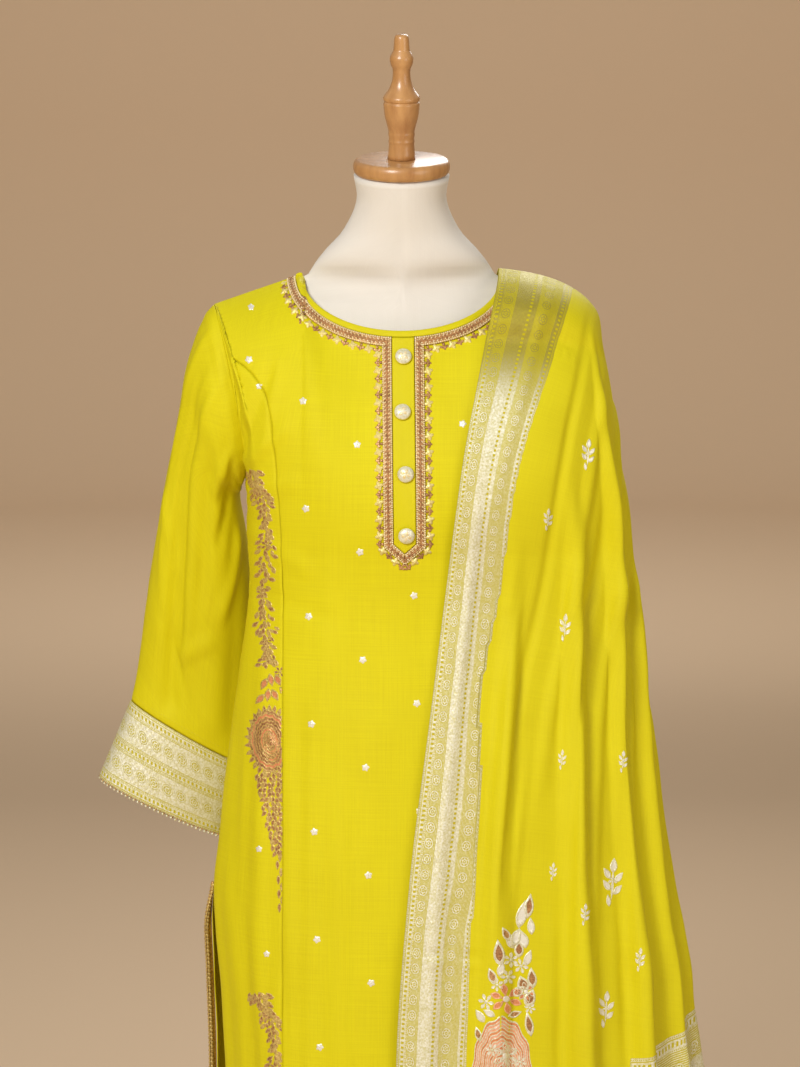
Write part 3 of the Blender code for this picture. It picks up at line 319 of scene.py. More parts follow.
def makeWovenCloth():  # threads, slubs and slow colour change of a plain weave
    group, given, out = newGroup(
        "wovenCloth",
        [("Flat", "Vector"), ("Colour", "Color"), ("Deep", "Color"), ("Thread", "Float"), ("Slub", "Float")],
        [("Colour", "Color"), ("Height", "Float")],
    )
    split = group.nodes.new("ShaderNodeSeparateXYZ")
    group.links.new(given.outputs["Flat"], split.inputs[0])
    turns = calc(group, "DIVIDE", 2 * math.pi, given.outputs["Thread"])
    warp = calc(group, "SINE", calc(group, "MULTIPLY", split.outputs["X"], turns))
    weft = calc(group, "SINE", calc(group, "MULTIPLY", split.outputs["Y"], turns))
    threads = calc(group, "MULTIPLY", warp, weft)
    warpSlub = stretchedNoise(group, given.outputs["Flat"], (900.0, 14.0, 1.0), 1.0)
    weftSlub = stretchedNoise(group, given.outputs["Flat"], (14.0, 900.0, 1.0), 1.0)
    cloud = stretchedNoise(group, given.outputs["Flat"], (9.0, 6.0, 1.0), 1.0, 3.0)
    slubs = calc(group, "ADD", warpSlub, weftSlub)
    slubs = calc(group, "MULTIPLY", calc(group, "SUBTRACT", slubs, 1.0), given.outputs["Slub"])
    tone = calc(group, "MULTIPLY_ADD", cloud, 0.7, -0.05)
    tone = calc(group, "ADD", tone, slubs)
    tone = calc(group, "MULTIPLY_ADD", threads, 0.06, tone)
    colour = mixColor(group, bounded(group, tone), given.outputs["Colour"], given.outputs["Deep"])
    group.links.new(colour, out.inputs["Colour"])
    height = calc(group, "MULTIPLY_ADD", threads, 0.35, slubs)
    group.links.new(height, out.inputs["Height"])
    return group


# across the band, places and halves are shares of its width; other lengths are in metres
zariPattern = {
    "lines": 58.0,
    "lineHalf": 0.27,
    "lineStrength": 0.78,
    "squareRows": (0.075, 0.50, 0.925),
    "squareHalf": 0.030,
    "squareInner": 0.019,
    "squareTicks": (0.0052, 0.52),  # pitch, and the share of it that is filled
    "dashRows": (0.012, 0.115, 0.455, 0.545, 0.885, 0.988),
    "dashHalf": 0.010,
    "dashTicks": (0.0024, 0.55),  # the same
    "dashStrength": 0.85,
    "petals": 6.0,
    "petalDepth": 0.0006,
    "flowerRadius": 0.0035,
    # radius and half width of a line
    "heart": (0.0013, 0.0004),
    "ring": (0.0052, 0.0008),
    "clearRadius": 0.0064,
    "linkHalf": 0.0012,
    "linkReach": 0.064,
    "threadPitch": 0.0011,
    "cords": 72.0,
}


def makeZariBorder():  # woven metal bands along a border, with two rows of flower roundels
    group, given, out = newGroup(
        "zariBorder",
        [
            ("Across", "Float"), ("Along", "Float"), ("Width", "Float"), ("Pitch", "Float"),
            ("Row One", "Float"), ("Row Two", "Float"),
            ("Zone One", "Float"), ("Half One", "Float"), ("Zone Two", "Float"), ("Half Two", "Float"),
        ],
        [("Zari", "Float"), ("Ground", "Float"), ("Height", "Float")],
    )
    across, along = given.outputs["Across"], given.outputs["Along"]
    look = zariPattern

    def plus(first, second):
        return calc(group, "ADD", first, second)

    def minus(first, second):
        return calc(group, "SUBTRACT", first, second)

    def times(first, second):
        return calc(group, "MULTIPLY", first, second)

    def either(first, second):
        return calc(group, "MAXIMUM", first, second)

    def band(centre, half):
        return calc(group, "COMPARE", across, centre, half)

    def ticks(pitch, filled):
        part = calc(group, "FRACT", calc(group, "DIVIDE", along, pitch))
        return calc(group, "COMPARE", part, 0.5, filled / 2)

    zones = either(
        band(given.outputs["Zone One"], given.outputs["Half One"]),
        band(given.outputs["Zone Two"], given.outputs["Half Two"]),
    )
    fine = calc(group, "FRACT", times(across, look["lines"]))
    lines = calc(group, "COMPARE", fine, 0.5, look["lineHalf"])
    ground = either(zones, times(lines, look["lineStrength"]))
    dashes = times(ticks(*look["dashTicks"]), look["dashStrength"])
    for centre in look["squareRows"]:
        square = band(centre, look["squareHalf"])
        inner = band(centre, look["squareInner"])
        hollow = times(inner, ticks(*look["squareTicks"]))
        row = either(minus(square, inner), hollow)
        ground = plus(times(ground, minus(1.0, square)), row)
    for centre in look["dashRows"]:
        ground = either(ground, times(band(centre, look["dashHalf"]), dashes))
    part = calc(group, "FRACT", calc(group, "DIVIDE", along, given.outputs["Pitch"]))
    side = times(minus(part, 0.5), given.outputs["Pitch"])
    for label in ("Row One", "Row Two"):
        rise = times(minus(across, given.outputs[label]), given.outputs["Width"])
        radius = calc(group, "SQRT", plus(times(side, side), times(rise, rise)))
        turn = calc(group, "ARCTAN2", rise, side)
        petals = calc(group, "COSINE", times(turn, look["petals"]))
        edge = calc(group, "MULTIPLY_ADD", petals, look["petalDepth"], look["flowerRadius"])
        flower = calc(group, "LESS_THAN", radius, edge)
        heart = calc(group, "COMPARE", radius, *look["heart"])
        flower = minus(flower, times(heart, flower))
        ring = calc(group, "COMPARE", radius, *look["ring"])
        keep = minus(1.0, calc(group, "LESS_THAN", radius, look["clearRadius"]))
        beside = calc(group, "COMPARE", side, 0.0, look["linkHalf"])
        link = times(times(beside, band(given.outputs[label], look["linkReach"])), keep)
        ground = plus(times(ground, keep), either(flower, ring))
        ground = minus(ground, times(link, ground))
    inside = band(0.5, 0.5)
    zari = times(bounded(group, ground), inside)
    thread = calc(group, "SINE", times(along, 2 * math.pi / look["threadPitch"]))
    cord = calc(group, "SINE", times(across, 2 * math.pi * look["cords"]))
    weave = times(thread, cord)
    group.links.new(zari, out.inputs["Zari"])
    group.links.new(minus(inside, zari), out.inputs["Ground"])
    group.links.new(times(zari, calc(group, "MULTIPLY_ADD", weave, 0.3, 0.8)), out.inputs["Height"])
    return group


def makeMetalThread():  # glitter and tone of metal thread
    group, given, out = newGroup(
        "metalThread",
        [("Place", "Vector"), ("Bright", "Color"), ("Dark", "Color")],
        [("Colour", "Color"), ("Roughness", "Float"), ("Height", "Float")],
    )
    glint = stretchedNoise(group, given.outputs["Place"], (1.0, 1.0, 1.0), 470.0, 3.0)
    patch = stretchedNoise(group, given.outputs["Place"], (1.0, 1.0, 1.0), 60.0, 2.0)
    tone = calc(group, "MULTIPLY_ADD", glint, 2.6, calc(group, "MULTIPLY_ADD", patch, 0.6, -1.05))
    colour = mixColor(group, bounded(group, tone), given.outputs["Dark"], given.outputs["Bright"])
    group.links.new(colour, out.inputs["Colour"])
    group.links.new(calc(group, "MULTIPLY_ADD", glint, -0.25, 0.50), out.inputs["Roughness"])
    group.links.new(glint, out.inputs["Height"])
    return group


wovenCloth = makeWovenCloth()
zariBorder = makeZariBorder()
metalThread = makeMetalThread()

colours = {  # linear, chosen to look like the photo
    "yellow": (0.77, 0.69, 0.003, 1.0),
    "yellowDeep": (0.63, 0.53, 0.002, 1.0),
    "yellowShade": (0.46, 0.38, 0.004, 1.0),
    # painted shade: the colour the zari is given near the shoulder, where it lies in shade
    "zariInShade": (0.40, 0.33, 0.05, 1.0),
    "zari": (0.96, 0.95, 0.80, 1.0),
    "zariDark": (0.68, 0.64, 0.36, 1.0),
    "brass": (0.78, 0.58, 0.18, 1.0),
    "brassDark": (0.44, 0.27, 0.06, 1.0),
    "copper": (0.74, 0.42, 0.17, 1.0),
    "copperDark": (0.24, 0.10, 0.035, 1.0),
    "pearl": (0.94, 0.84, 0.58, 1.0),
    "coral": (0.86, 0.36, 0.14, 1.0),
    "coralDark": (0.62, 0.20, 0.09, 1.0),
    "silver": (0.88, 0.85, 0.74, 1.0),
    "pink": (0.90, 0.55, 0.40, 1.0),
    "rust": (0.62, 0.32, 0.12, 1.0),
    "sequin": (0.97, 0.88, 0.36, 1.0),
    "cream": (0.84, 0.80, 0.72, 1.0),
    "creamDeep": (0.76, 0.71, 0.63, 1.0),
    "wood": (0.60, 0.32, 0.115, 1.0),
    "woodDark": (0.30, 0.115, 0.032, 1.0),
}


def startMaterial(name, roughness, metallic=0.0, sheen=0.0):
    made = bpy.data.materials.new(name)
    made.use_nodes = True
    shader = made.node_tree.nodes["Principled BSDF"]
    shader.inputs["Roughness"].default_value = roughness
    shader.inputs["Metallic"].default_value = metallic
    shader.inputs["Sheen Weight"].default_value = sheen
    shader.inputs["Sheen Roughness"].default_value = 0.35
    return made, made.node_tree, shader


def placeGroup(tree, group, links, values):
    node = tree.nodes.new("ShaderNodeGroup")
    node.node_tree = group
    for label, value in values.items():
        node.inputs[label].default_value = value
    for label, socket in links.items():
        tree.links.new(socket, node.inputs[label])
    return node


def uvPlace(tree, layer):
    node = tree.nodes.new("ShaderNodeUVMap")
    node.uv_map = layer
    return node.outputs[0]


def objectPlace(tree):
    return tree.nodes.new("ShaderNodeTexCoord").outputs["Object"]


def addBump(tree, shader, height, distance, strength):
    node = tree.nodes.new("ShaderNodeBump")
    node.inputs["Strength"].default_value = strength
    node.inputs["Distance"].default_value = distance
    tree.links.new(height, node.inputs["Height"])
    tree.links.new(node.outputs[0], shader.inputs["Normal"])


def clothMaterial(name, colour, deep, thread, slub, roughness=0.66, sheen=0.05):
    made, tree, shader = startMaterial(name, roughness, 0.0, sheen)
    shader.inputs["Specular IOR Level"].default_value = 0.25
    weave = placeGroup(tree, wovenCloth, {"Flat": uvPlace(tree, "flat")},
                       {"Colour": colours[colour], "Deep": colours[deep], "Thread": thread, "Slub": slub})
    tree.links.new(weave.outputs["Colour"], shader.inputs["Base Color"])
    addBump(tree, shader, weave.outputs["Height"], 0.00012, 0.8)
    shader.inputs["Sheen Tint"].default_value = colours[colour]
    return made


bandedCloth = {
    "thread": 0.0006,
    "slub": 0.5,
    "roughness": 0.66,
    "roughnessFall": -0.27,
    "sheen": 0.06,
    "specular": 0.3,
    "groundShade": 0.50,
    "metallic": 0.38,
}


def borderMaterial(name, bands):
    # plain weave with woven metal borders; each band names its layer, width, pitch, rows and zones
    look = bandedCloth
    made, tree, shader = startMaterial(name, look["roughness"], 0.0, look["sheen"])
    shader.inputs["Specular IOR Level"].default_value = look["specular"]
    shader.inputs["Sheen Tint"].default_value = colours["yellow"]
    weave = placeGroup(tree, wovenCloth, {"Flat": uvPlace(tree, "flat")}, {
        "Colour": colours["yellow"], "Deep": colours["yellowDeep"],
        "Thread": look["thread"], "Slub": look["slub"],
    })
    zari, ground, height, bright = 0.0, 0.0, 0.0, 1.0
    for row in bands:
        split = tree.nodes.new("ShaderNodeSeparateXYZ")
        tree.links.new(uvPlace(tree, row["layer"]), split.inputs[0])
        across = calc(tree, "DIVIDE", split.outputs[row["acrossAxis"]], row["width"])
        along = split.outputs["X" if row["acrossAxis"] == "Y" else "Y"]
        labels = ("Row One", "Row Two", "Zone One", "Half One", "Zone Two", "Half Two")
        values = dict(zip(labels, row["rows"] + row["zones"]), Width=row["width"], Pitch=row["pitch"])
        border = placeGroup(tree, zariBorder, {"Across": across, "Along": along}, values)
        zari = calc(tree, "MAXIMUM", zari, border.outputs["Zari"])
        ground = calc(tree, "MAXIMUM", ground, border.outputs["Ground"])
        if "shadedShoulder" in row:  # painted shade: near the shoulder's top the metal thread is painted a dark olive instead of its bright tones
            near = tree.nodes.new("ShaderNodeMapRange")
            near.interpolation_type = "SMOOTHSTEP"
            near.inputs["From Min"].default_value, near.inputs["From Max"].default_value = row["shadedShoulder"]
            tree.links.new(calc(tree, "ABSOLUTE", along), near.inputs["Value"])
            bright = near.outputs["Result"]
        height = calc(tree, "MAXIMUM", height, border.outputs["Height"])
    metal = placeGroup(tree, metalThread, {"Place": objectPlace(tree)},
                       {"Bright": colours["zari"], "Dark": colours["zariDark"]})
    # painted glints, partly real: the zari share rises with the glint noise, so the base colour turns to
    # bright metal in specks; the same share also raises metallic and lowers roughness there
    glintingZari = calc(tree, "MULTIPLY", zari, calc(tree, "MULTIPLY_ADD", metal.outputs["Height"], 0.5, 0.66))
    glintingZari = calc(tree, "MINIMUM", glintingZari, 1.0)
    shadow = calc(tree, "MULTIPLY", ground, look["groundShade"])
    shade = mixColor(tree, shadow, weave.outputs["Colour"], colours["yellowShade"])
    # painted shade: the metal thread's colour is mixed to dark olive near the shoulder
    thread = mixColor(tree, bright, colours["zariInShade"], metal.outputs["Colour"])
    tree.links.new(mixColor(tree, glintingZari, shade, thread), shader.inputs["Base Color"])
    tree.links.new(calc(tree, "MULTIPLY", glintingZari, look["metallic"]), shader.inputs["Metallic"])
    rough = calc(tree, "MULTIPLY_ADD", glintingZari, look["roughnessFall"], look["roughness"])
    tree.links.new(rough, shader.inputs["Roughness"])
    relief = calc(tree, "MULTIPLY_ADD", metal.outputs["Height"], 0.35, height)
    relief = calc(tree, "MULTIPLY", relief, zari)
    addBump(tree, shader, calc(tree, "MULTIPLY_ADD", weave.outputs["Height"], 0.3, relief), 0.0003, 0.9)
    return made


def threadMaterial(name, bright, dark, metallic, relief=0.0002, sheen=0.0):
    made, tree, shader = startMaterial(name, 0.4, metallic, sheen)
    metal = placeGroup(tree, metalThread, {"Place": objectPlace(tree)},
                       {"Bright": colours[bright], "Dark": colours[dark]})
    tree.links.new(metal.outputs["Colour"], shader.inputs["Base Color"])
    tree.links.new(metal.outputs["Roughness"], shader.inputs["Roughness"])
    addBump(tree, shader, metal.outputs["Height"], relief, 0.8)
    return made


def woodMaterial():
    made, tree, shader = startMaterial("varnishedWood", 0.35)
    shader.inputs["Coat Weight"].default_value = 0.35
    shader.inputs["Coat Roughness"].default_value = 0.18
    place = objectPlace(tree)
    grain = stretchedNoise(tree, place, (90.0, 90.0, 7.0), 1.0, 4.0)
    pores = stretchedNoise(tree, place, (900.0, 900.0, 50.0), 1.0, 2.0)
    tone = calc(tree, "MULTIPLY_ADD", grain, 1.5, -0.45)
    tone = calc(tree, "ADD", tone, calc(tree, "MULTIPLY_ADD", pores, 0.3, -0.15))
    colour = mixColor(tree, bounded(tree, tone), colours["wood"], colours["woodDark"])
    tree.links.new(colour, shader.inputs["Base Color"])
    tree.links.new(calc(tree, "MULTIPLY_ADD", pores, 0.2, 0.25), shader.inputs["Roughness"])
    addBump(tree, shader, pores, 0.0001, 0.5)
    return made


cuffBand = {
    "layer": "flat", "acrossAxis": "Y", "width": 0.094, "pitch": 0.0170,
    "rows": (0.285, 0.715), "zones": (0.285, 0.145, 0.715, 0.145),
}
# shadedShoulder: distances from the shoulder's top over which the painted shade on the metal fades out
sideBand = {
    "layer": "flat", "acrossAxis": "X", "width": 0.095, "pitch": 0.0172,
    "rows": (0.19, 0.70), "zones": (0.435, 0.150, 0.90, 0.028), "shadedShoulder": (0.13, 0.21),
}
endBand = {
    "layer": "ends", "acrossAxis": "Y", "width": 0.118, "pitch": 0.0180,
    "rows": (0.25, 0.72), "zones": (0.49, 0.150, 0.92, 0.030),
}
kameezCloth = clothMaterial("kameezCloth", "yellow", "yellowDeep", 0.0007, 0.75)
salwarCloth = clothMaterial("salwarCloth", "yellow", "yellowDeep", 0.0007, 0.6)
bindingSatin = clothMaterial("bindingSatin", "yellow", "yellowDeep", 0.0004, 0.3, 0.5, 0.15)
formCover = clothMaterial("formCover", "cream", "creamDeep", 0.0009, 0.5, 0.85, 0.1)
cuffBrocade = borderMaterial("cuffBrocade", [cuffBand])
dupattaSilk = borderMaterial("dupattaSilk", [sideBand, endBand])
copperThread = threadMaterial("copperThread", "copper", "copperDark", 0.30)
pearlBead = threadMaterial("pearlBead", "pearl", "brass", 0.20)
coralThread = threadMaterial("coralThread", "coral", "coralDark", 0.15, 0.0003, 0.2)
goldThread = threadMaterial("goldThread", "zari", "zariDark", 0.30)
sequinMetal = threadMaterial("sequinMetal", "sequin", "brass", 0.25, 0.00005)
yellowStitch = threadMaterial("yellowStitch", "yellow", "yellowDeep", 0.0, 0.0001, 0.3)
silverThread = threadMaterial("silverThread", "silver", "zari", 0.3)
pinkThread = threadMaterial("pinkThread", "pink", "coral", 0.2)
brassThread = threadMaterial("brassThread", "brass", "brassDark", 0.25)
rustThread = threadMaterial("rustThread", "rust", "copperDark", 0.3)
varnishedWood = woodMaterial()
print("materials made")


# the kameez

kameez = {
    "cloth": 0.0012,
    "hemZ": 0.28,
    "yokeZ": 1.10,
    "yokeStart": 0.60,
    "neckHalf": 0.1095,
    "neckFront": (0.0, -0.0700, 1.3386),
    "neckBack": (0.0, 0.0700, 1.3760),
    "shoulderNeck": (0.1095, 0.0040, 1.3965),
    "shoulderTip": (0.2060, 0.0040, 1.3635),
    "neckShare": 0.40,
    "shoulderShare": 0.62,
    "power": 2.25,
    "princessX": 0.129,
    "princessArmhole": 0.84,
    "princessBend": 0.30,
    "fluteTop": 1.02,
    "fluteFull": 0.50,
    "crowding": 1.5,
    "chestLean": 0.16,
    "handle": 0.38,
    "hemFold": 0.022,
    "rows": 172,
    "slitFade": (0.73, 0.02),  # where the slit starts, and the height it fades over
    "slitHem": (0.0006, 0.006),  # rise and half width
    "waves": (0.0010, 0.09),  # rise and length
    "sections": {
        "columns": ("z", "frontHalf", "frontDepth", "frontEdge", "backHalf", "backDepth", "backEdge"),
        "rows": (
            (0.280, 0.2000, 0.1600, -0.0220, 0.2130, 0.1560, 0.0300),
            (0.400, 0.1970, 0.1570, -0.0220, 0.2120, 0.1530, 0.0300),
            (0.504, 0.1945, 0.1530, -0.0200, 0.2110, 0.1500, 0.0300),
            (0.600, 0.1990, 0.1490, -0.0160, 0.2130, 0.1470, 0.0260),
            (0.672, 0.2065, 0.1460, -0.0090, 0.2140, 0.1440, 0.0150),
            (0.717, 0.2085, 0.1430, -0.0010, 0.2090, 0.1420, 0.0010),
            (0.770, 0.2030, 0.1395, -0.0002, 0.2030, 0.1390, 0.0002),
            (0.830, 0.1970, 0.1345, -0.0002, 0.1970, 0.1350, 0.0002),
            (0.910, 0.1870, 0.1275, -0.0002, 0.1870, 0.1260, 0.0002),
            (0.960, 0.1800, 0.1215, -0.0002, 0.1800, 0.1170, 0.0002),
            (1.015, 0.1720, 0.1165, -0.0002, 0.1720, 0.1070, 0.0002),
            (1.060, 0.1680, 0.1160, -0.0002, 0.1680, 0.1010, 0.0002),
            (1.100, 0.1695, 0.1190, -0.0002, 0.1695, 0.1000, 0.0002),
        ),
    },
    "arrival": {
        "columns": ("share", "x", "y", "z"),
        "rows": (
            (0.00, 0.00, 0.36, 0.93),
            (0.10, 0.00, 0.38, 0.92),
            (0.20, 0.02, 0.58, 0.81),
            (0.30, 0.05, 0.80, 0.60),
            (0.40, 0.08, 0.88, 0.46),
            (0.62, 0.22, 0.86, 0.40),
            (0.80, 0.30, 0.15, 0.92),
            (1.00, 0.04, 0.00, 1.00),
        ),
    },
    # place round the half section, half width, height
    "frontFlutes": (
        (-0.88, 0.10, 0.0050), (-0.62, 0.09, -0.0045), (-0.34, 0.10, 0.0030), (0.12, 0.14, -0.0025),
        (0.42, 0.10, 0.0040), (0.70, 0.09, -0.0045), (0.90, 0.09, 0.0045),
    ),
    "backFlutes": (
        (-0.86, 0.10, 0.0050), (-0.55, 0.10, -0.0050), (-0.20, 0.12, 0.0050), (0.15, 0.10, -0.0040),
        (0.48, 0.11, 0.0050), (0.80, 0.10, -0.0045),
    ),
    # x and z of each end in the front view, half width, height
    "frontCreases": (
        (-0.176, 1.190, -0.120, 1.240, 0.012, 0.0030), (-0.170, 1.165, -0.110, 1.180, 0.014, 0.0022),
        (-0.172, 1.215, -0.140, 1.300, 0.010, -0.0026), (-0.150, 1.210, -0.128, 1.320, 0.009, 0.0018),
        (-0.165, 1.120, -0.095, 1.080, 0.016, 0.0020), (-0.168, 1.060, -0.070, 1.030, 0.018, -0.0016),
        (0.170, 1.180, 0.100, 1.230, 0.013, 0.0026), (0.168, 1.120, 0.090, 1.085, 0.016, 0.0018),
        (-0.075, 1.105, -0.085, 0.900, 0.020, 0.0016), (-0.040, 1.080, -0.052, 0.760, 0.018, -0.0014),
        (0.040, 1.060, 0.050, 0.700, 0.022, 0.0014), (-0.150, 0.980, -0.158, 0.560, 0.014, 0.0026),
        (-0.110, 0.940, -0.112, 0.480, 0.013, -0.0022), (-0.180, 0.900, -0.186, 0.700, 0.010, -0.0020),
        (-0.066, 0.820, -0.070, 0.420, 0.020, 0.0020), (0.000, 0.700, 0.004, 0.300, 0.020, -0.0018),
        (0.150, 0.980, 0.156, 0.560, 0.014, 0.0026), (0.108, 0.900, 0.112, 0.440, 0.014, -0.0022),
        (-0.135, 0.620, -0.140, 0.300, 0.012, 0.0030), (0.060, 0.640, 0.066, 0.300, 0.018, 0.0020),
    ),
    "backCreases": (
        (-0.172, 1.190, -0.110, 1.235, 0.013, 0.0028), (0.172, 1.190, 0.110, 1.235, 0.013, 0.0028),
        (-0.160, 1.120, -0.070, 1.085, 0.016, 0.0024), (0.160, 1.110, 0.080, 1.070, 0.016, 0.0022),
        (-0.060, 1.060, 0.070, 1.050, 0.018, -0.0020), (-0.090, 1.020, 0.050, 1.008, 0.016, 0.0022),
        (-0.030, 1.310, -0.026, 1.100, 0.020, 0.0014), (0.050, 0.980, 0.056, 0.520, 0.018, 0.0022),
        (-0.060, 0.960, -0.068, 0.500, 0.018, -0.0022), (-0.140, 0.900, -0.150, 0.460, 0.015, 0.0026),
        (0.140, 0.900, 0.148, 0.460, 0.015, -0.0024), (0.000, 0.780, 0.004, 0.300, 0.022, 0.0020),
        (0.100, 0.720, 0.108, 0.300, 0.016, 0.0022), (-0.100, 0.700, -0.108, 0.300, 0.016, 0.0020),
    ),
}
armholeRing = (0.2060, 1.3635, 0.1720, 1.1765, 0.0040, 0.0560, 0.0080)
ringColumns = ("outerX", "outerZ", "innerX", "innerZ", "midY", "halfDepth", "pull")


def ringPoint(ring, angle):
    turn = np.cos(angle)
    x = (ring["outerX"] + ring["innerX"]) / 2 + (ring["outerX"] - ring["innerX"]) / 2 * turn
    x = x - ring["pull"] * np.abs(np.sin(angle))
    z = (ring["outerZ"] + ring["innerZ"]) / 2 + (ring["outerZ"] - ring["innerZ"]) / 2 * turn
    return np.stack([x, ring["midY"] - ring["halfDepth"] * np.sin(angle), z], axis=-1)


def skirtPoint(front, share, z):
    row = tableRow(kameez["sections"], z)
    side = "front" if front else "back"
    sign = -1.0 if front else 1.0
    angle = share * math.pi / 2
    across = signedPower(np.sin(angle), 2 / kameez["power"])
    reach = np.abs(np.cos(angle)) ** (2 / kameez["power"])
    x = row[side + "Half"] * across
    y = row[side + "Edge"] * (1.0 - reach) + sign * row[side + "Depth"] * reach
    strength = smoothStep((kameez["fluteTop"] - z) / (kameez["fluteTop"] - kameez["fluteFull"]))
    swell = np.zeros_like(x)
    for place, half, height in kameez[side + "Flutes"]:
        swell = swell + height * bump(share - place, half) * strength
    return np.stack([x + swell * np.sin(angle), y + sign * swell * np.cos(angle), z + 0.0 * x], axis=-1)


def kameezTop(front, share):  # neckline, shoulder seam, then armhole
    corner = np.array(kameez["shoulderNeck"])
    tip = np.array(kameez["shoulderTip"])
    centre = np.array(kameez["neckFront"] if front else kameez["neckBack"])
    turn = np.clip(share / kameez["neckShare"], 0.0, 1.0) * math.pi / 2
    neck = corner + (centre - corner) * np.cos(turn)[..., None]
    neck[..., 0] = kameez["neckHalf"] * np.sin(turn)
    part = (share - kameez["neckShare"]) / (kameez["shoulderShare"] - kameez["neckShare"])
    seam = corner + (tip - corner) * np.clip(part, 0.0, 1.0)[..., None]
    angle = np.clip((share - kameez["shoulderShare"]) / (1.0 - kameez["shoulderShare"]), 0.0, 1.0) * math.pi
    arm = ringPoint(dict(zip(ringColumns, armholeRing)), angle if front else -angle)
    at = share[..., None]
    return np.where(at < kameez["neckShare"], neck, np.where(at < kameez["shoulderShare"], seam, arm))


def bodyPoint(front, share, v):
    share, v = np.broadcast_arrays(np.asarray(share, float), np.asarray(v, float))
    yokeStart, yokeZ = kameez["yokeStart"], kameez["yokeZ"]
    skirtZ = kameez["hemZ"] + (yokeZ - kameez["hemZ"]) * np.minimum(v / yokeStart, 1.0)
    low = skirtPoint(front, share, skirtZ)
    across = np.abs(share)
    start = skirtPoint(front, across, np.full_like(across, yokeZ))
    below = skirtPoint(front, across, np.full_like(across, yokeZ - 0.01))
    end = kameezTop(front, across)
    way = tableRow(kameez["arrival"], across)
    sign = 1.0 if front else -1.0
    leave = unit(start - below)
    leave[..., 1] -= sign * kameez["chestLean"] * np.cos(across * math.pi / 2) * (1.0 if front else 0.4)
    arrive = unit(np.stack([way["x"], sign * way["y"], way["z"]], axis=-1))
    reach = kameez["handle"] * np.linalg.norm(end - start, axis=-1)[..., None]
    rest = (1.0 - np.clip((v - yokeStart) / (1.0 - yokeStart), 0.0, 1.0)) ** kameez["crowding"]
    rest = rest[..., None]
    part = 1.0 - rest
    high = start * rest ** 3 + (start + leave * reach) * (3 * part * rest ** 2)
    high = high + (end - arrive * reach) * (3 * part ** 2 * rest) + end * part ** 3
    high[..., 0] *= np.where(share < 0.0, -1.0, 1.0)
    return np.where((v <= yokeStart)[..., None], low, high)


def bodyNormal(front, share, v):
    step = 0.004
    left, right = np.maximum(share - step, -1.0), np.minimum(share + step, 1.0)
    low, high = np.maximum(v - step, 0.0), np.minimum(v + step, 1.0)
    across = bodyPoint(front, right, v) - bodyPoint(front, left, v)
    along = bodyPoint(front, share, high) - bodyPoint(front, share, low)
    return unit(np.cross(across, along)) * (1.0 if front else -1.0)


def bodyStarts(front):  # even samples of the kameez, found again by their x and z
    share, rest = np.meshgrid(np.linspace(-0.999, 0.999, 261), evenly(241))
    v = 1.0 - (0.0005 + 0.9995 * rest ** 1.5)
    points = bodyPoint(front, share, v)
    tree = KDTree(share.size)
    for index, (px, _, pz) in enumerate(points.reshape(-1, 3)):
        tree.insert((px, 0.0, pz), index)
    tree.balance()
    return tree, share.ravel(), v.ravel()


starts = {side: bodyStarts(side) for side in (True, False)}


def bodyAt(front, x, z, lift=0.0):  # the kameez at this x and z of the front view
    x, z = np.broadcast_arrays(np.asarray(x, float), np.asarray(z, float))
    tree, shares, levels = starts[front]
    near = np.array([tree.find((a, 0.0, b))[1] for a, b in zip(x.ravel(), z.ravel())], int).reshape(x.shape)
    share, v = shares[near], levels[near]
    step = 1e-4
    for _ in range(8):
        place = bodyPoint(front, share, v)
        wide = (bodyPoint(front, share + step, v) - place) / step
        tall = (bodyPoint(front, share, v - step) - place) / -step
        offX, offZ = x - place[..., 0], z - place[..., 2]
        area = wide[..., 0] * tall[..., 2] - tall[..., 0] * wide[..., 2]
        area = np.where(np.abs(area) < 1e-4, 1e9, area)
        moveShare = (offX * tall[..., 2] - offZ * tall[..., 0]) / area
        moveLevel = (offZ * wide[..., 0] - offX * wide[..., 2]) / area
        share = np.clip(share + np.clip(moveShare, -0.006, 0.006), -0.999, 0.999)
        v = np.clip(v + np.clip(moveLevel, -0.006, 0.006), 0.0, 0.9995)
    normal = bodyNormal(front, share, v)
    return bodyPoint(front, share, v) + normal * lift, normal


def princessShare(v):  # the long front seam
    yokeStart = kameez["yokeStart"]
    z = kameez["hemZ"] + (kameez["yokeZ"] - kameez["hemZ"]) * np.minimum(v / yokeStart, 1.0)
    half = tableRow(kameez["sections"], z)["frontHalf"]
    below = np.arcsin((kameez["princessX"] / half) ** (kameez["power"] / 2)) / (math.pi / 2)
    part = np.clip((v - yokeStart) / (1.0 - yokeStart), 0.0, 1.0)
    bend = smoothStep((part - kameez["princessBend"]) / (1.0 - kameez["princessBend"]))
    return below + (kameez["princessArmhole"] - below) * bend


def panelShare(u, v, corners):  # at the top the columns meet the neck's corners
    across = np.abs(2 * u - 1.0)
    top = np.interp(across, evenly(len(corners)), np.array(corners) / corners[-1])
    part = smoothStep((v - kameez["yokeStart"]) / (1.0 - kameez["yokeStart"]) * 1.6)
    return np.copysign(across * (1.0 - part) + top * part, u - 0.5)


def trimCalm(front, x, z):  # the cloth lies smooth under the neck trims
    low = kameez["neckFront" if front else "neckBack"][2]
    corner = kameez["shoulderNeck"][2]
    ring = np.hypot(x / kameez["neckHalf"], (corner - z) / (corner - low))
    calm = smoothStep((ring - 1.35) / 0.5)
    if front:
        strip = np.maximum((np.abs(x - 0.003) - 0.028) / 0.02, (1.095 - z) / 0.02)
        calm = calm * smoothStep(strip)
    return calm


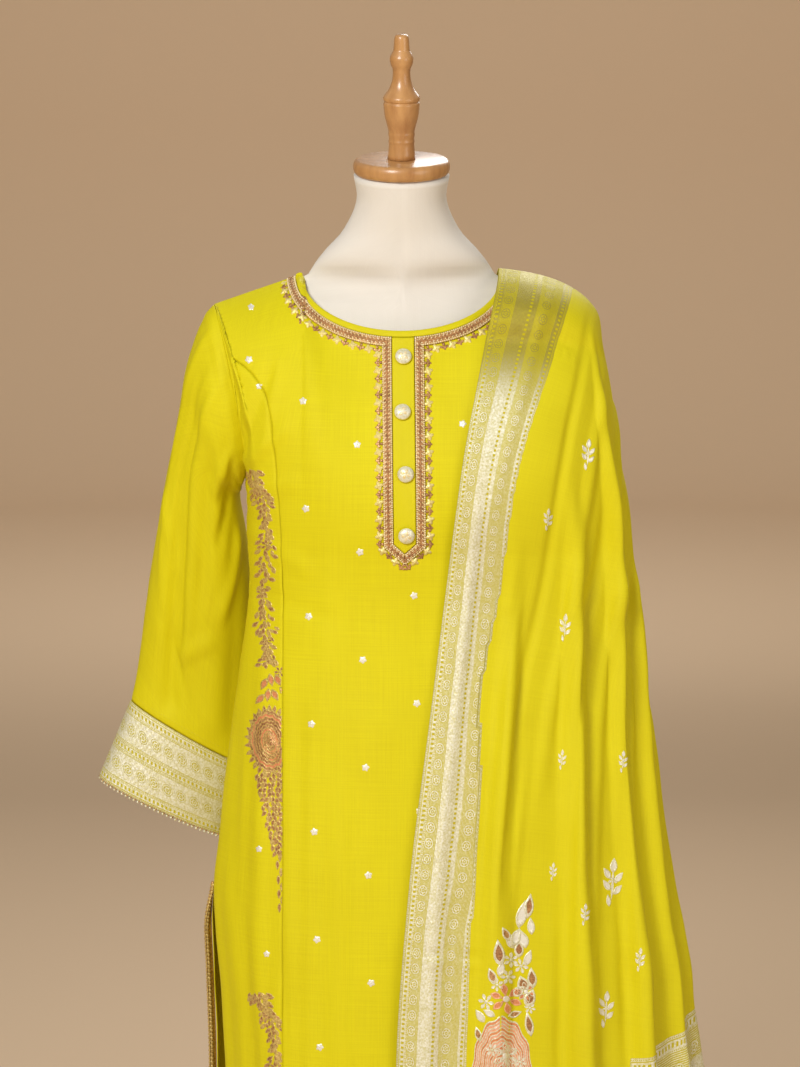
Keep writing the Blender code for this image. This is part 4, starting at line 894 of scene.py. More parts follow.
def kameezPanel(name, front, shareOf, columns, seamEdges):
    v, u = np.meshgrid(evenly(kameez["rows"]), evenly(columns), indexing="ij")
    grid = bodyPoint(front, shareOf(u, v), v)
    inside = np.stack([0 * v, 0 * v + 0.02, np.minimum(grid[..., 2], 1.28)], axis=-1)
    if not facingOut(grid, inside):
        grid, u = grid[:, ::-1], u[:, ::-1]
        seamEdges = seamEdges[::-1]
    normals = gridNormals(grid)
    middle = columns // 2
    across, along = arcAcross(grid, middle), arcAlong(grid)
    x, z = grid[..., 0], grid[..., 2]
    creases = kameez["frontCreases" if front else "backCreases"]
    rise, size = kameez["waves"]
    height = creaseHeight(x, z, creases) + rise * softWaves(across, along, size, 3 if front else 4)
    height = height * trimCalm(front, x, z) * smoothStep((1.0 - v) / 0.05)
    fromFirst = arcAcross(grid)
    for distance, edge in ((fromFirst, seamEdges[0]), (fromFirst[:, -1:] - fromFirst, seamEdges[1])):
        if edge == "seam":
            height = height + seamShape(distance, along)
        else:  # a side seam above, a turned hem beside the slit below
            slitTop, fade = kameez["slitFade"]
            rise, half = kameez["slitHem"]
            slit = smoothStep((slitTop - z) / fade)
            height = height + slit * rise * bump(distance - half, half)
            height = height + (1.0 - slit) * seamShape(distance, along)
    height = height + 0.0005 * bump(along - kameez["hemFold"] / 2, kameez["hemFold"] / 2)
    height = height - 0.0006 * bump(along - kameez["hemFold"], 0.0015)
    grid = grid + normals * (kameez["cloth"] + height)[..., None]
    piece = clothPiece(name, grid, kameezCloth, [name], kameez["cloth"],
                       {"flat": flatLayer(across, along)})
    return grid


def makeKameezBody():
    neck = [kameez["neckShare"] * step / 4 for step in range(5)]
    frontCorners = neck + [kameez["shoulderShare"], 0.73, kameez["princessArmhole"]]
    backCorners = neck + [kameez["shoulderShare"], 0.81, 1.0]
    return {
        "centre": kameezPanel(
            "kameez_front_centre", True, lambda u, v: panelShare(u, v, frontCorners) * princessShare(v),
            106, ("seam", "seam")),
        "left": kameezPanel(
            "kameez_side_front_left", True, lambda u, v: princessShare(v) + (1.0 - princessShare(v)) * u,
            40, ("seam", "side")),
        "right": kameezPanel(
            "kameez_side_front_right", True, lambda u, v: -1.0 + (1.0 - princessShare(v)) * u,
            40, ("side", "seam")),
        "back": kameezPanel(
            "kameez_back", False, lambda u, v: -panelShare(u, v, backCorners),
            104, ("side", "side")),
    }


kameezGrids = makeKameezBody()
print("kameez body made")


# sleeves and cuffs

sleeves = {
    "columns": 98,
    "rows": 128,
    "cuffRows": 34,
    "cuffCloth": 0.0016,
    "roundCut": 0.36,
    "right": {
        "mirror": -1.0,
        "foldShare": 1.0,
        "sleeve": (
            armholeRing,
            (0.2225, 1.3373, 0.1775, 1.1700, 0.0080, 0.0610, 0.0040),
            (0.2362, 1.2970, 0.1790, 1.1640, 0.0140, 0.0620, 0.0),
            (0.2445, 1.2531, 0.1800, 1.1570, 0.0220, 0.0600, 0.0),
            (0.2590, 1.1850, 0.1820, 1.1440, 0.0370, 0.0570, 0.0),
            (0.2775, 1.0920, 0.1720, 1.0680, 0.0560, 0.0530, 0.0),
            (0.2905, 1.0126, 0.1720, 0.9820, 0.0700, 0.0450, 0.0),
            (0.3003, 0.9487, 0.1780, 0.8880, 0.0800, 0.0350, 0.0),
            (0.3092, 0.9060, 0.1800, 0.8310, 0.0830, 0.0300, 0.0),
        ),
        "cuff": (
            (0.3095, 0.9055, 0.1803, 0.8305, 0.0830, 0.0300, 0.0),
            (0.3285, 0.8605, 0.1890, 0.7885, 0.0835, 0.0320, 0.0),
            (0.3475, 0.8155, 0.1980, 0.7460, 0.0840, 0.0330, 0.0),
        ),
    },
    "left": {
        "mirror": 1.0,
        "foldShare": 0.6,
        "sleeve": (
            armholeRing,
            (0.2120, 1.3300, 0.1760, 1.1700, 0.0070, 0.0590, 0.0040),
            (0.2190, 1.2900, 0.1775, 1.1640, 0.0120, 0.0590, 0.0),
            (0.2275, 1.2500, 0.1780, 1.1560, 0.0200, 0.0580, 0.0),
            (0.2365, 1.1950, 0.1780, 1.1400, 0.0350, 0.0560, 0.0),
            (0.2460, 1.1200, 0.1710, 1.0850, 0.0520, 0.0550, 0.0),
            (0.2540, 1.0400, 0.1720, 1.0050, 0.0700, 0.0540, 0.0),
            (0.2600, 0.9600, 0.1760, 0.9250, 0.0860, 0.0530, 0.0),
            (0.2625, 0.9000, 0.1800, 0.8620, 0.0960, 0.0520, 0.0),
        ),
        "cuff": (
            (0.2626, 0.8995, 0.1801, 0.8615, 0.0960, 0.0520, 0.0),
            (0.2675, 0.8550, 0.1840, 0.8130, 0.1000, 0.0520, 0.0),
            (0.2720, 0.8100, 0.1880, 0.7650, 0.1040, 0.0520, 0.0),
        ),
    },
    # angle from the outer side towards the front, half width, height, where it starts
    "folds": ((66.0, 22.0, -0.0085, 0.14), (112.0, 26.0, 0.0050, 0.20),
              (228.0, 30.0, -0.0050, 0.30), (292.0, 28.0, 0.0040, 0.25)),
    # distance round from the outer side and down from the armhole at each end, half width, height
    "creases": (
        (0.030, 0.02, 0.036, 0.30, 0.010, 0.0024), (0.050, 0.05, 0.058, 0.42, 0.009, -0.0026),
        (0.075, 0.03, 0.080, 0.34, 0.011, 0.0026), (0.100, 0.06, 0.092, 0.26, 0.010, -0.0020),
        (0.128, 0.02, 0.104, 0.10, 0.009, 0.0028), (0.140, 0.04, 0.110, 0.16, 0.009, -0.0024),
        (0.150, 0.10, 0.118, 0.24, 0.010, 0.0026), (0.020, 0.20, 0.060, 0.28, 0.010, 0.0016),
        (0.110, 0.28, 0.070, 0.36, 0.010, 0.0020), (0.040, 0.34, 0.100, 0.40, 0.012, -0.0014),
        (0.210, 0.04, 0.235, 0.20, 0.010, 0.0028), (0.240, 0.06, 0.262, 0.30, 0.012, -0.0024),
        (0.285, 0.03, 0.290, 0.34, 0.011, 0.0024), (0.320, 0.10, 0.318, 0.40, 0.010, -0.0022),
        (0.200, 0.24, 0.250, 0.32, 0.012, 0.0022),
    ),
}


def sleeveRings(rows, count):
    key = evenly(len(rows))
    table = {"columns": ("key",) + ringColumns, "rows": [(at,) + tuple(row) for at, row in zip(key, rows)]}
    return tableRow(table, evenly(count)[:, None])


def makeSleeve(side):
    facts = sleeves[side]
    v = evenly(sleeves["rows"])[:, None]
    angle = fullTurn(sleeves["columns"])[None, :]
    rings = sleeveRings(facts["sleeve"], sleeves["rows"])
    grid = ringPoint(rings, angle + 0 * v)
    middle = grid.mean(axis=1, keepdims=True)
    turn = np.degrees(angle)
    height = np.zeros(grid.shape[:2])
    for place, half, rise, start in sleeves["folds"]:
        away = np.abs((turn - place + 180.0) % 360.0 - 180.0)
        strength = smoothStep((v - start) / 0.25) * smoothStep((1.0 - v) / 0.10)
        height = height + rise * bump(away, half) * strength * facts["foldShare"]
    grid[..., 0] += 0.0004 * smoothStep(1.0 - v / 0.05)
    grid[..., 0] *= facts["mirror"]
    middle[..., 0] *= facts["mirror"]
    grid = grid + unit(grid - middle) * height[..., None]
    grid = outwardTube(grid, middle)
    normals = gridNormals(grid, True)
    flat = closedFlat(grid)
    around = flat[:, :-1, 0] / flat[:, -1:, 0] * sleeves["roundCut"]
    if grid[0, 1, 1] > grid[0, 0, 1]:
        around = sleeves["roundCut"] - around
    down = flat[:, :-1, 1]
    calm = smoothStep(v / 0.10) * smoothStep((1.0 - v) / 0.06)
    small = 1.5 * creaseHeight(around, down, sleeves["creases"]) * calm
    small = small + 0.0009 * softWaves(around, down, 0.07, 8)
    small = small + seamShape(down, around * 3) * (v < 0.2)
    small = small + seamShape(down[-1:] - down, around * 3) * (v > 0.8)
    cap = 0.0016 * bump(down - 0.012, 0.012)
    grid = grid + normals * (kameez["cloth"] + small + cap)[..., None]
    piece = clothPiece("sleeve_" + side, grid, kameezCloth, ["sleeve_" + side],
                       kameez["cloth"], {"flat": flat}, True)

    rings = sleeveRings(facts["cuff"], sleeves["cuffRows"])
    cuff = ringPoint(rings, angle + np.zeros((sleeves["cuffRows"], 1)))
    cuff[..., 0] *= facts["mirror"]
    cuff = outwardTube(cuff, cuff.mean(axis=1, keepdims=True))
    flat = closedFlat(cuff)
    down = flat[:, :-1, 1] / flat[-1:, :-1, 1] * cuffBand["width"]
    flat[..., 1] = np.concatenate([down, down[:, :1]], axis=1)
    edge = np.minimum(down, cuffBand["width"] - down)
    height = 0.0004 * softWaves(flat[:, :-1, 0], down, 0.05, 5) - 0.0006 * (1.0 - smoothStep(edge / 0.002))
    cuff = cuff + gridNormals(cuff, True) * (sleeves["cuffCloth"] + height)[..., None]
    piece = clothPiece("cuff_" + side, cuff, cuffBrocade, ["cuff_" + side],
                       sleeves["cuffCloth"], {"flat": flat}, True)
    return grid, cuff


sleeveGrids = {side: makeSleeve(side) for side in ("left", "right")}
print("sleeves and cuffs made")


# the dupatta

dupatta = {
    "cloth": 0.0010,
    "columns": 124,
    "frontRows": 164,
    "backRows": 112,
    "sideShare": 0.80,
    "restGap": 0.0060,
    "laidRun": 0.08,
    "rowColumns": ("run", "inX", "inZ", "sideX", "sideY", "sideZ", "endX", "endY", "endZ", "straight"),
    "frontSections": (
        (0.00, 0.1065, 1.4025, 0.2155, 0.0200, 1.3480, 0.2215, 0.0300, 1.2980, 0.85),
        (0.03, 0.1040, 1.3900, 0.2175, 0.0000, 1.3420, 0.2235, 0.0240, 1.2850, 1.00),
        (0.08, 0.0947, 1.3502, 0.2210, -0.0120, 1.3120, 0.2275, 0.0220, 1.2640, 1.20),
        (0.13, 0.0841, 1.2992, 0.2285, -0.0110, 1.2760, 0.2325, 0.0270, 1.2370, 1.30),
        (0.21, 0.0675, 1.2168, 0.2390, 0.0010, 1.2060, 0.2400, 0.0380, 1.1800, 1.20),
        (0.29, 0.0570, 1.1424, 0.2520, 0.0100, 1.1400, 0.2500, 0.0470, 1.1200, 1.00),
        (0.37, 0.0465, 1.0561, 0.2605, 0.0140, 1.0560, 0.2585, 0.0540, 1.0450, 0.92),
        (0.50, 0.0305, 0.9275, 0.2725, 0.0140, 0.9260, 0.2700, 0.0560, 0.9200, 0.92),
        (0.64, 0.0124, 0.7871, 0.2885, 0.0120, 0.7900, 0.2850, 0.0560, 0.7900, 0.92),
        (0.73, 0.0038, 0.6987, 0.3040, 0.0100, 0.7000, 0.2990, 0.0540, 0.7020, 0.92),
        (0.82, -0.0025, 0.6200, 0.3205, 0.0080, 0.6200, 0.3150, 0.0520, 0.6260, 0.92),
        (0.89, -0.0059, 0.5490, 0.3280, 0.0060, 0.5500, 0.3230, 0.0500, 0.5600, 0.92),
        (1.00, -0.0090, 0.3720, 0.3520, 0.0060, 0.4340, 0.3460, 0.0500, 0.4440, 0.92),
    ),
    "backSections": (
        (0.00, 0.1065, 1.4025, 0.2155, 0.0200, 1.3480, 0.2215, 0.0300, 1.2980, 0.85),
        (0.03, 0.1045, 1.3910, 0.2165, 0.0420, 1.3420, 0.2225, 0.0400, 1.2880, 0.90),
        (0.08, 0.0990, 1.3550, 0.2190, 0.0640, 1.3130, 0.2250, 0.0560, 1.2700, 0.76),
        (0.14, 0.0920, 1.3050, 0.2240, 0.0880, 1.2780, 0.2300, 0.0740, 1.2400, 0.86),
        (0.22, 0.0840, 1.2250, 0.2330, 0.1130, 1.2080, 0.2390, 0.0990, 1.1800, 0.90),
        (0.32, 0.0760, 1.1200, 0.2420, 0.1330, 1.1100, 0.2480, 0.1190, 1.0950, 0.80),
        (0.44, 0.0700, 1.0000, 0.2480, 0.1560, 0.9950, 0.2540, 0.1420, 0.9850, 0.70),
        (0.58, 0.0620, 0.8500, 0.2530, 0.1780, 0.8500, 0.2590, 0.1640, 0.8450, 0.70),
        (0.72, 0.0550, 0.7000, 0.2580, 0.1830, 0.7000, 0.2640, 0.1690, 0.7000, 0.75),
        (0.86, 0.0490, 0.5500, 0.2630, 0.1800, 0.5500, 0.2690, 0.1660, 0.5500, 0.80),
        (1.00, 0.0450, 0.3000, 0.2680, 0.1780, 0.3150, 0.2740, 0.1640, 0.3250, 0.80),
    ),
    # share across at the shoulder and at the hem, half width, height, where it starts
    "frontFolds": ((0.060, 0.050, 0.030, 0.0060, 0.20), (0.190, 0.160, 0.036, 0.0160, 0.28),
                   (0.380, 0.330, 0.044, 0.0210, 0.22), (0.560, 0.470, 0.040, 0.0170, 0.06),
                   (0.690, 0.610, 0.042, 0.0140, 0.20), (0.800, 0.740, 0.040, 0.0080, 0.35)),
    "backFolds": ((0.100, 0.080, 0.050, 0.0100, 0.15), (0.300, 0.280, 0.055, 0.0150, 0.12),
                  (0.500, 0.490, 0.055, 0.0140, 0.15), (0.700, 0.690, 0.050, 0.0120, 0.18)),
    # distance from the inner edge and down from the shoulder at each end, half width, height
    "frontCreases": (
        (0.060, 0.05, 0.040, 0.30, 0.012, 0.0020), (0.112, 0.10, 0.108, 0.95, 0.010, -0.0034),
        (0.150, 0.14, 0.150, 0.60, 0.014, 0.0040), (0.185, 0.30, 0.200, 0.98, 0.015, -0.0050),
        (0.215, 0.08, 0.250, 0.80, 0.014, 0.0042), (0.265, 0.30, 0.300, 0.90, 0.016, -0.0046),
        (0.300, 0.45, 0.335, 1.00, 0.014, 0.0040), (0.130, 0.60, 0.128, 1.05, 0.008, 0.0026),
        (0.360, 0.35, 0.395, 0.95, 0.016, -0.0036), (0.080, 0.40, 0.078, 0.70, 0.008, -0.0022),
        (0.000, 0.088, 0.100, 0.112, 0.004, -0.0014), (0.000, 0.100, 0.100, 0.124, 0.003, 0.0012),
        (0.000, 0.420, 0.095, 0.430, 0.003, -0.0014), (0.000, 0.795, 0.095, 0.800, 0.003, -0.0018),
        (0.000, 0.806, 0.095, 0.812, 0.003, 0.0016),
    ),
    "backCreases": (
        (0.050, 0.05, 0.045, 0.50, 0.010, 0.0018), (0.120, 0.10, 0.120, 0.90, 0.010, -0.0020),
        (0.180, 0.10, 0.170, 1.00, 0.011, 0.0022), (0.240, 0.20, 0.235, 0.95, 0.010, -0.0018),
        (0.090, 0.50, 0.095, 1.05, 0.009, 0.0016),
    ),
    # photo pixels of the band's outer edge, and how much of its width shows there
    "bandEdge": (
        (572, 296, 0.095), (558, 342, 0.095), (545, 384, 0.094), (528, 432, 0.093), (516, 480, 0.092),
        (508, 528, 0.090), (503, 567, 0.086), (495, 616, 0.080), (483, 670, 0.070), (479, 700, 0.070),
        (480, 800, 0.076), (475, 880, 0.082), (470, 930, 0.090), (466, 1067, 0.095),
    ),
    # where the photo doesn't reach: the band's width, its place on the cloth, and where plain cloth starts
    "bandElsewhere": (0.095, 0.092),
    "plainStart": 0.0955,
    # photo pixel across of the step in the end border, and its widths either side of it
    "endStep": (627.0, 0.074, 0.142),
}


def dupattaRow(front, run):
    rows = dupatta["frontSections" if front else "backSections"]
    return tableRow({"columns": dupatta["rowColumns"], "rows": rows}, run)


def dupattaPoint(front, share, run, startY):
    row = dupattaRow(front, run)
    start = np.stack([row["inX"], startY + 0 * run, row["inZ"]], axis=-1)
    side = np.stack([row["sideX"], row["sideY"], row["sideZ"]], axis=-1)
    end = np.stack([row["endX"], row["endY"], row["endZ"]], axis=-1)
    limit = dupatta["sideShare"]
    angle = np.clip(share / limit, 0.0, 1.0) * math.pi / 2
    turn = ((1.0 - np.cos(angle)) ** row["straight"])[..., None]
    inner = start + (side - start) * turn
    inner[..., 0] = row["inX"] + (row["sideX"] - row["inX"]) * np.sin(angle)
    angle = np.clip((share - limit) / (1.0 - limit), 0.0, 1.0) * math.pi / 2
    outer = side + (end - side) * np.sin(angle)[..., None]
    outer[..., 0] = row["sideX"] + (row["endX"] - row["sideX"]) * (1.0 - np.cos(angle))
    return np.where((share <= limit)[..., None], inner, outer)


def innerEdgeY(front, run):  # the inner edge rests just off the kameez
    row = dupattaRow(front, run)
    lowZ = np.minimum(row["inZ"], 1.330 if front else 1.340)
    lift = kameez["cloth"] + dupatta["restGap"]
    near = np.stack([bodyAt(front, row["inX"] + step, lowZ, lift)[0][..., 1] for step in (0.0, 0.03, 0.05)])
    surface = near.min(axis=0) if front else near.max(axis=0)
    topY = kameez["shoulderNeck"][1] + 0.004
    part = np.clip(run / dupatta["laidRun"], 0.0, 1.0)
    return topY + (surface - topY) * (1.0 - (1.0 - part) ** 1.6)


def dupattaFall(front, runs):  # rows from the shoulder down
    share, run = np.meshgrid(evenly(dupatta["columns"]), runs)
    grid = dupattaPoint(front, share, run, innerEdgeY(front, runs)[:, None])
    normals = gridNormals(grid)
    centre = np.stack([0 * run + 0.10, 0 * run + 0.03, grid[..., 2]], axis=-1)
    normals = normals * np.where(np.sum(normals * (grid - centre), axis=-1) < 0.0, -1.0, 1.0)[..., None]
    height = np.zeros_like(share)
    for top, bottom, half, rise, start in dupatta["frontFolds" if front else "backFolds"]:
        place = top + (bottom - top) * run
        height += rise * bump(share - place, half) * smoothStep((run - start) / 0.25)
    return grid + normals * height[..., None], run


def makeDupatta():
    frontRuns = evenly(dupatta["frontRows"]) ** 1.15
    backRuns = (evenly(dupatta["backRows"]) ** 1.15)[1:]
    frontGrid, frontRun = dupattaFall(True, frontRuns)
    backGrid, backRun = dupattaFall(False, backRuns)
    grid = np.concatenate([backGrid[::-1], frontGrid], axis=0)
    run = np.concatenate([-backRun[::-1], frontRun], axis=0)
    top = len(backRuns)
    inside = np.array([0.12, 0.03, 0.0]) * np.ones_like(grid)
    inside[..., 2] = np.minimum(grid[..., 2] - 0.02, 1.30)
    if not facingOut(grid, inside):
        grid, run = grid[::-1], run[::-1]
        top = len(grid) - 1 - top
    normals = gridNormals(grid)
    across = arcAcross(grid)
    along = arcAlong(grid)
    along = along - along[top:top + 1]
    front = run >= 0.0
    fall = np.abs(along)
    height = np.where(front, creaseHeight(across, fall, dupatta["frontCreases"]),
                      creaseHeight(across, fall, dupatta["backCreases"]))
    height = height * smoothStep(fall / 0.08) + 0.0010 * softWaves(across, along, 0.08, 12)
    edge = np.minimum(across, across[:, -1:] - across)
    height = height * smoothStep(edge / 0.006) + 0.0003 * bump(edge - 0.002, 0.002)
    grid = grid + normals * (dupatta["cloth"] + height)[..., None]

    px, py = photoPixels(grid)
    edges = np.array(dupatta["bandEdge"], float)
    edgePlace, shownWidth = np.zeros((len(grid), 1)), np.zeros((len(grid), 1))
    for row in range(len(grid)):
        shown, place = dupatta["bandElsewhere"]
        if front[row, 0]:
            shown = np.interp(py[row, 0], edges[:, 1], edges[:, 2])
            over = px[row] - np.interp(py[row], edges[:, 1], edges[:, 0])
            last = np.argmax(over > 0.0)
            if last:  # the first column past the band's edge in the photo
                part = over[last - 1] / (over[last - 1] - over[last])
                place = across[row, last - 1] + part * (across[row, last] - across[row, last - 1])
        shownWidth[row], edgePlace[row] = shown, place
    ease = np.ones(9) / 9
    edgePlace[4:-4, 0] = np.convolve(edgePlace[:, 0], ease, "valid")
    inBand = across / edgePlace * shownWidth
    flatX = np.where(across < edgePlace, inBand, across - edgePlace + dupatta["plainStart"])
    ends = np.stack([arcAlong(grid), arcAlong(grid[::-1])[::-1]], axis=-1).min(axis=-1)
    step, narrow, wide = dupatta["endStep"]
    width = narrow + (wide - narrow) * smoothStep((px - step) / 6.0 + 0.5)
    ends = np.where(front, ends * endBand["width"] / width, ends)
    layers = {"flat": flatLayer(flatX, along), "ends": flatLayer(across, ends)}
    piece = clothPiece("dupatta", grid, dupattaSilk,
                       ["dupatta_front", "dupatta_shoulder", "dupatta_back"], dupatta["cloth"], layers)
    return grid


dupattaGrid = makeDupatta()
print("dupatta made")


# the salwar

salwar = {
    "cloth": 0.0012,
    "softness": 0.018,
    "columns": 70,
    "rows": 92,
    "rowColumns": ("z", "closed", "innerX", "half", "front", "back"),
    "top": (
        (1.0017, 0.00, 0.0003, 0.1285, 0.0915, 0.0915),
        (0.950, 0.00, 0.0003, 0.1490, 0.1000, 0.1020),
        (0.870, 0.00, 0.0003, 0.1700, 0.1090, 0.1140),
        (0.800, 0.00, 0.0003, 0.1790, 0.1130, 0.1190),
        (0.725, 0.00, 0.0003, 0.1790, 0.1120, 0.1180),
    ),
    "right": (
        (0.685, 0.30, -0.0100, 0.1340, 0.1080, 0.1120),
        (0.640, 0.85, -0.0280, 0.1060, 0.0980, 0.1000),
        (0.590, 1.00, -0.0335, 0.1020, 0.0920, 0.0920),
        (0.450, 1.00, -0.0335, 0.0950, 0.0860, 0.0860),
        (0.280, 1.00, -0.0330, 0.0780, 0.0730, 0.0730),
        (0.106, 1.00, -0.0320, 0.0600, 0.0580, 0.0580),
    ),
    "left": (
        (0.685, 0.30, 0.0135, 0.1180, 0.1080, 0.1120),
        (0.640, 0.85, 0.0320, 0.0790, 0.0980, 0.1000),
        (0.590, 1.00, 0.0380, 0.0760, 0.0920, 0.0920),
        (0.450, 1.00, 0.0380, 0.0750, 0.0860, 0.0860),
        (0.280, 1.00, 0.0380, 0.0690, 0.0730, 0.0730),
        (0.106, 1.00, 0.0380, 0.0600, 0.0580, 0.0580),
    ),
    "gathers": 22,
    "gatherHeight": 0.0016,
    "ankle": (0.1057, 0.0600),
    "waistband": (1.0022, 1.0380, 0.1246, 0.0876),
}


def makeLeg(side, mirror):
    rows = salwar["top"] + salwar[side]
    table = {"columns": salwar["rowColumns"], "rows": rows}
    levels = np.linspace(rows[0][0], rows[-1][0], salwar["rows"])
    u, z = np.meshgrid(evenly(salwar["columns"]), levels)
    row = tableRow(table, z)
    closing = np.clip(row["closed"], 0.0, 1.0) * math.pi / 2
    angle = -closing + (math.pi + 2 * closing) * u
    middle = row["innerX"] + row["half"] * np.sin(closing)
    depth = np.where(np.cos(angle) > 0.0, row["front"], row["back"])
    soft = 1.0 + salwar["softness"] * np.sin(angle * 5.0 + z * 3.0) * smoothStep((0.9 - z) / 0.3)
    x = middle + row["half"] * np.sin(angle) * soft
    y = -depth * np.cos(angle) * soft
    grid = np.stack([mirror * x, y, z], axis=-1)
    inside = np.stack([mirror * middle, 0 * z, z], axis=-1)
    if not facingOut(grid, inside):
        grid, angle, inside = grid[:, ::-1], angle[:, ::-1], inside[:, ::-1]
    across, along = arcAcross(grid), arcAlong(grid)
    near = smoothStep((0.26 - grid[..., 2]) / 0.14)
    height = salwar["gatherHeight"] * near * np.sin(angle * salwar["gathers"] + 2 * np.sin(angle * 3))
    height = height + 0.0014 * softWaves(across, along * 0.35, 0.06, 21)
    fade = smoothStep((grid[..., 2] - 0.106) / 0.01)
    grid = grid + gridNormals(grid) * (salwar["cloth"] + height * fade)[..., None]
    name = "salwar_leg_" + side
    piece = clothPiece(name, grid, salwarCloth, [name], salwar["cloth"],
                       {"flat": flatLayer(across, along)})

    last = rows[-1]
    top, bottom = salwar["ankle"]
    levels = np.linspace(bottom, top, 14)[:, None]
    turn = fullTurn(80)[None, :]
    x = mirror * (last[2] + last[3] + last[3] * np.sin(turn)) + 0 * levels
    y = -last[4] * np.cos(turn) + 0 * levels
    cuff = np.stack([x, y, levels + 0 * x], axis=-1)
    cuff = outwardTube(cuff, cuff.mean(axis=1, keepdims=True))
    flat = closedFlat(cuff)
    edge = np.minimum(flat[:, :-1, 1], flat[-1, 0, 1] - flat[:, :-1, 1])
    height = sleeves["cuffCloth"] - 0.0006 * (1 - smoothStep(edge / 0.002))
    cuff = cuff + gridNormals(cuff, True) * height[..., None]
    flat[..., 1] = flat[..., 1] / flat[-1, 0, 1] * cuffBand["width"] / 2
    name = "ankle_cuff_" + side
    piece = clothPiece(name, cuff, cuffBrocade, [name], sleeves["cuffCloth"],
                       {"flat": flat}, True)


def makeWaistband():
    bottom, top, half, depth = salwar["waistband"]
    levels = np.linspace(bottom, top, 12)[:, None]
    turn, power, cloth = fullTurn(120)[None, :], 2 / 2.1, 0.0020
    x = half * signedPower(np.sin(turn), power) + 0 * levels
    y = -depth * signedPower(np.cos(turn), power) + 0 * levels
    grid = np.stack([x, y, levels + 0 * x], axis=-1)
    grid = outwardTube(grid, grid.mean(axis=1, keepdims=True))
    layers = tubeLayers(grid)
    grid = grid + gridNormals(grid, True) * cloth
    piece = clothPiece("salwar_waistband", grid, salwarCloth, ["salwar_waistband"], cloth,
                       layers, True)


for legSide, legMirror in (("left", 1.0), ("right", -1.0)):
    makeLeg(legSide, legMirror)
makeWaistband()
print("salwar made")


# the dress form

dressForm = {
    "around": 80,
    "levels": 110,
    "clearance": 0.0014,
    "rowColumns": ("z", "half", "front", "back", "midY", "tilt", "power"),
    "rows": (
        (0.7200, 0.1560, 0.0900, 0.0960, 0.000, 0.0, 2.2),
        (0.7350, 0.1660, 0.0980, 0.1040, 0.000, 0.0, 2.2),
        (0.8000, 0.1690, 0.1010, 0.1070, 0.000, 0.0, 2.2),
        (0.8700, 0.1610, 0.0980, 0.1030, 0.000, 0.0, 2.2),
        (0.9500, 0.1400, 0.0910, 0.0930, 0.000, 0.0, 2.1),
        (1.0000, 0.1240, 0.0870, 0.0870, 0.000, 0.0, 2.1),
        (1.0420, 0.1240, 0.0870, 0.0870, 0.000, 0.0, 2.1),
        (1.1000, 0.1400, 0.1010, 0.0850, 0.000, 0.0, 2.1),
        (1.1650, 0.1520, 0.1100, 0.0880, 0.000, 0.0, 2.1),
        (1.2200, 0.1540, 0.0980, 0.0880, 0.000, 0.0, 2.1),
        (1.2800, 0.1620, 0.0740, 0.0800, 0.002, 0.0, 1.9),
        (1.3300, 0.1780, 0.0580, 0.0660, 0.003, 0.0, 1.6),
        (1.3550, 0.1840, 0.0540, 0.0580, 0.004, 0.0, 1.3),
        (1.3705, 0.1832, 0.0500, 0.0540, 0.004, 0.0, 1.08),
        (1.3820, 0.1496, 0.0460, 0.0500, 0.004, 0.0, 1.02),
        (1.3945, 0.1075, 0.0440, 0.0480, 0.003, 0.0, 1.10),
        (1.4100, 0.0950, 0.0470, 0.0490, 0.000, 0.0, 1.8),
        (1.4260, 0.0820, 0.0460, 0.0480, -0.004, 2.0, 2.0),
        (1.4456, 0.0640, 0.0450, 0.0470, -0.009, 5.0, 2.0),
        (1.4787, 0.0490, 0.0440, 0.0450, -0.021, 9.0, 2.0),
        (1.5060, 0.0520, 0.0460, 0.0460, -0.028, 10.5, 2.0),
    ),
    "neckTilt": math.radians(10.5),
    "capPlace": (0.0, -0.0282, 1.5066),
    "capRadius": 0.0525,
    "capThickness": 0.0165,
    "capGap": 0.0003,
    "bendReach": 0.28,
    # radius and height above the cap, from the top down
    "finial": (
        (0.0060, 0.1340), (0.0077, 0.1315), (0.0087, 0.1175), (0.0092, 0.1165), (0.0122, 0.1110),
        (0.0128, 0.1075), (0.0118, 0.1020), (0.0092, 0.0968), (0.0098, 0.0860), (0.0128, 0.0770),
        (0.0190, 0.0685), (0.0198, 0.0668), (0.0198, 0.0640), (0.0180, 0.0625), (0.0195, 0.0610),
        (0.0195, 0.0580), (0.0184, 0.0470), (0.0160, 0.0380), (0.0139, 0.0300), (0.0145, 0.0275),
        (0.0135, 0.0222), (0.0143, 0.0195), (0.0136, 0.0170), (0.0143, 0.0080), (0.0153, 0.0003),
    ),
    "pole": ((0.0140, 0.7197), (0.0140, 0.0263)),
    "base": (
        (0.030, 0.026), (0.036, 0.023), (0.050, 0.018), (0.174, 0.015),
        (0.1788, 0.0128), (0.180, 0.010), (0.180, 0.002), (0.178, 0.0),
    ),
}


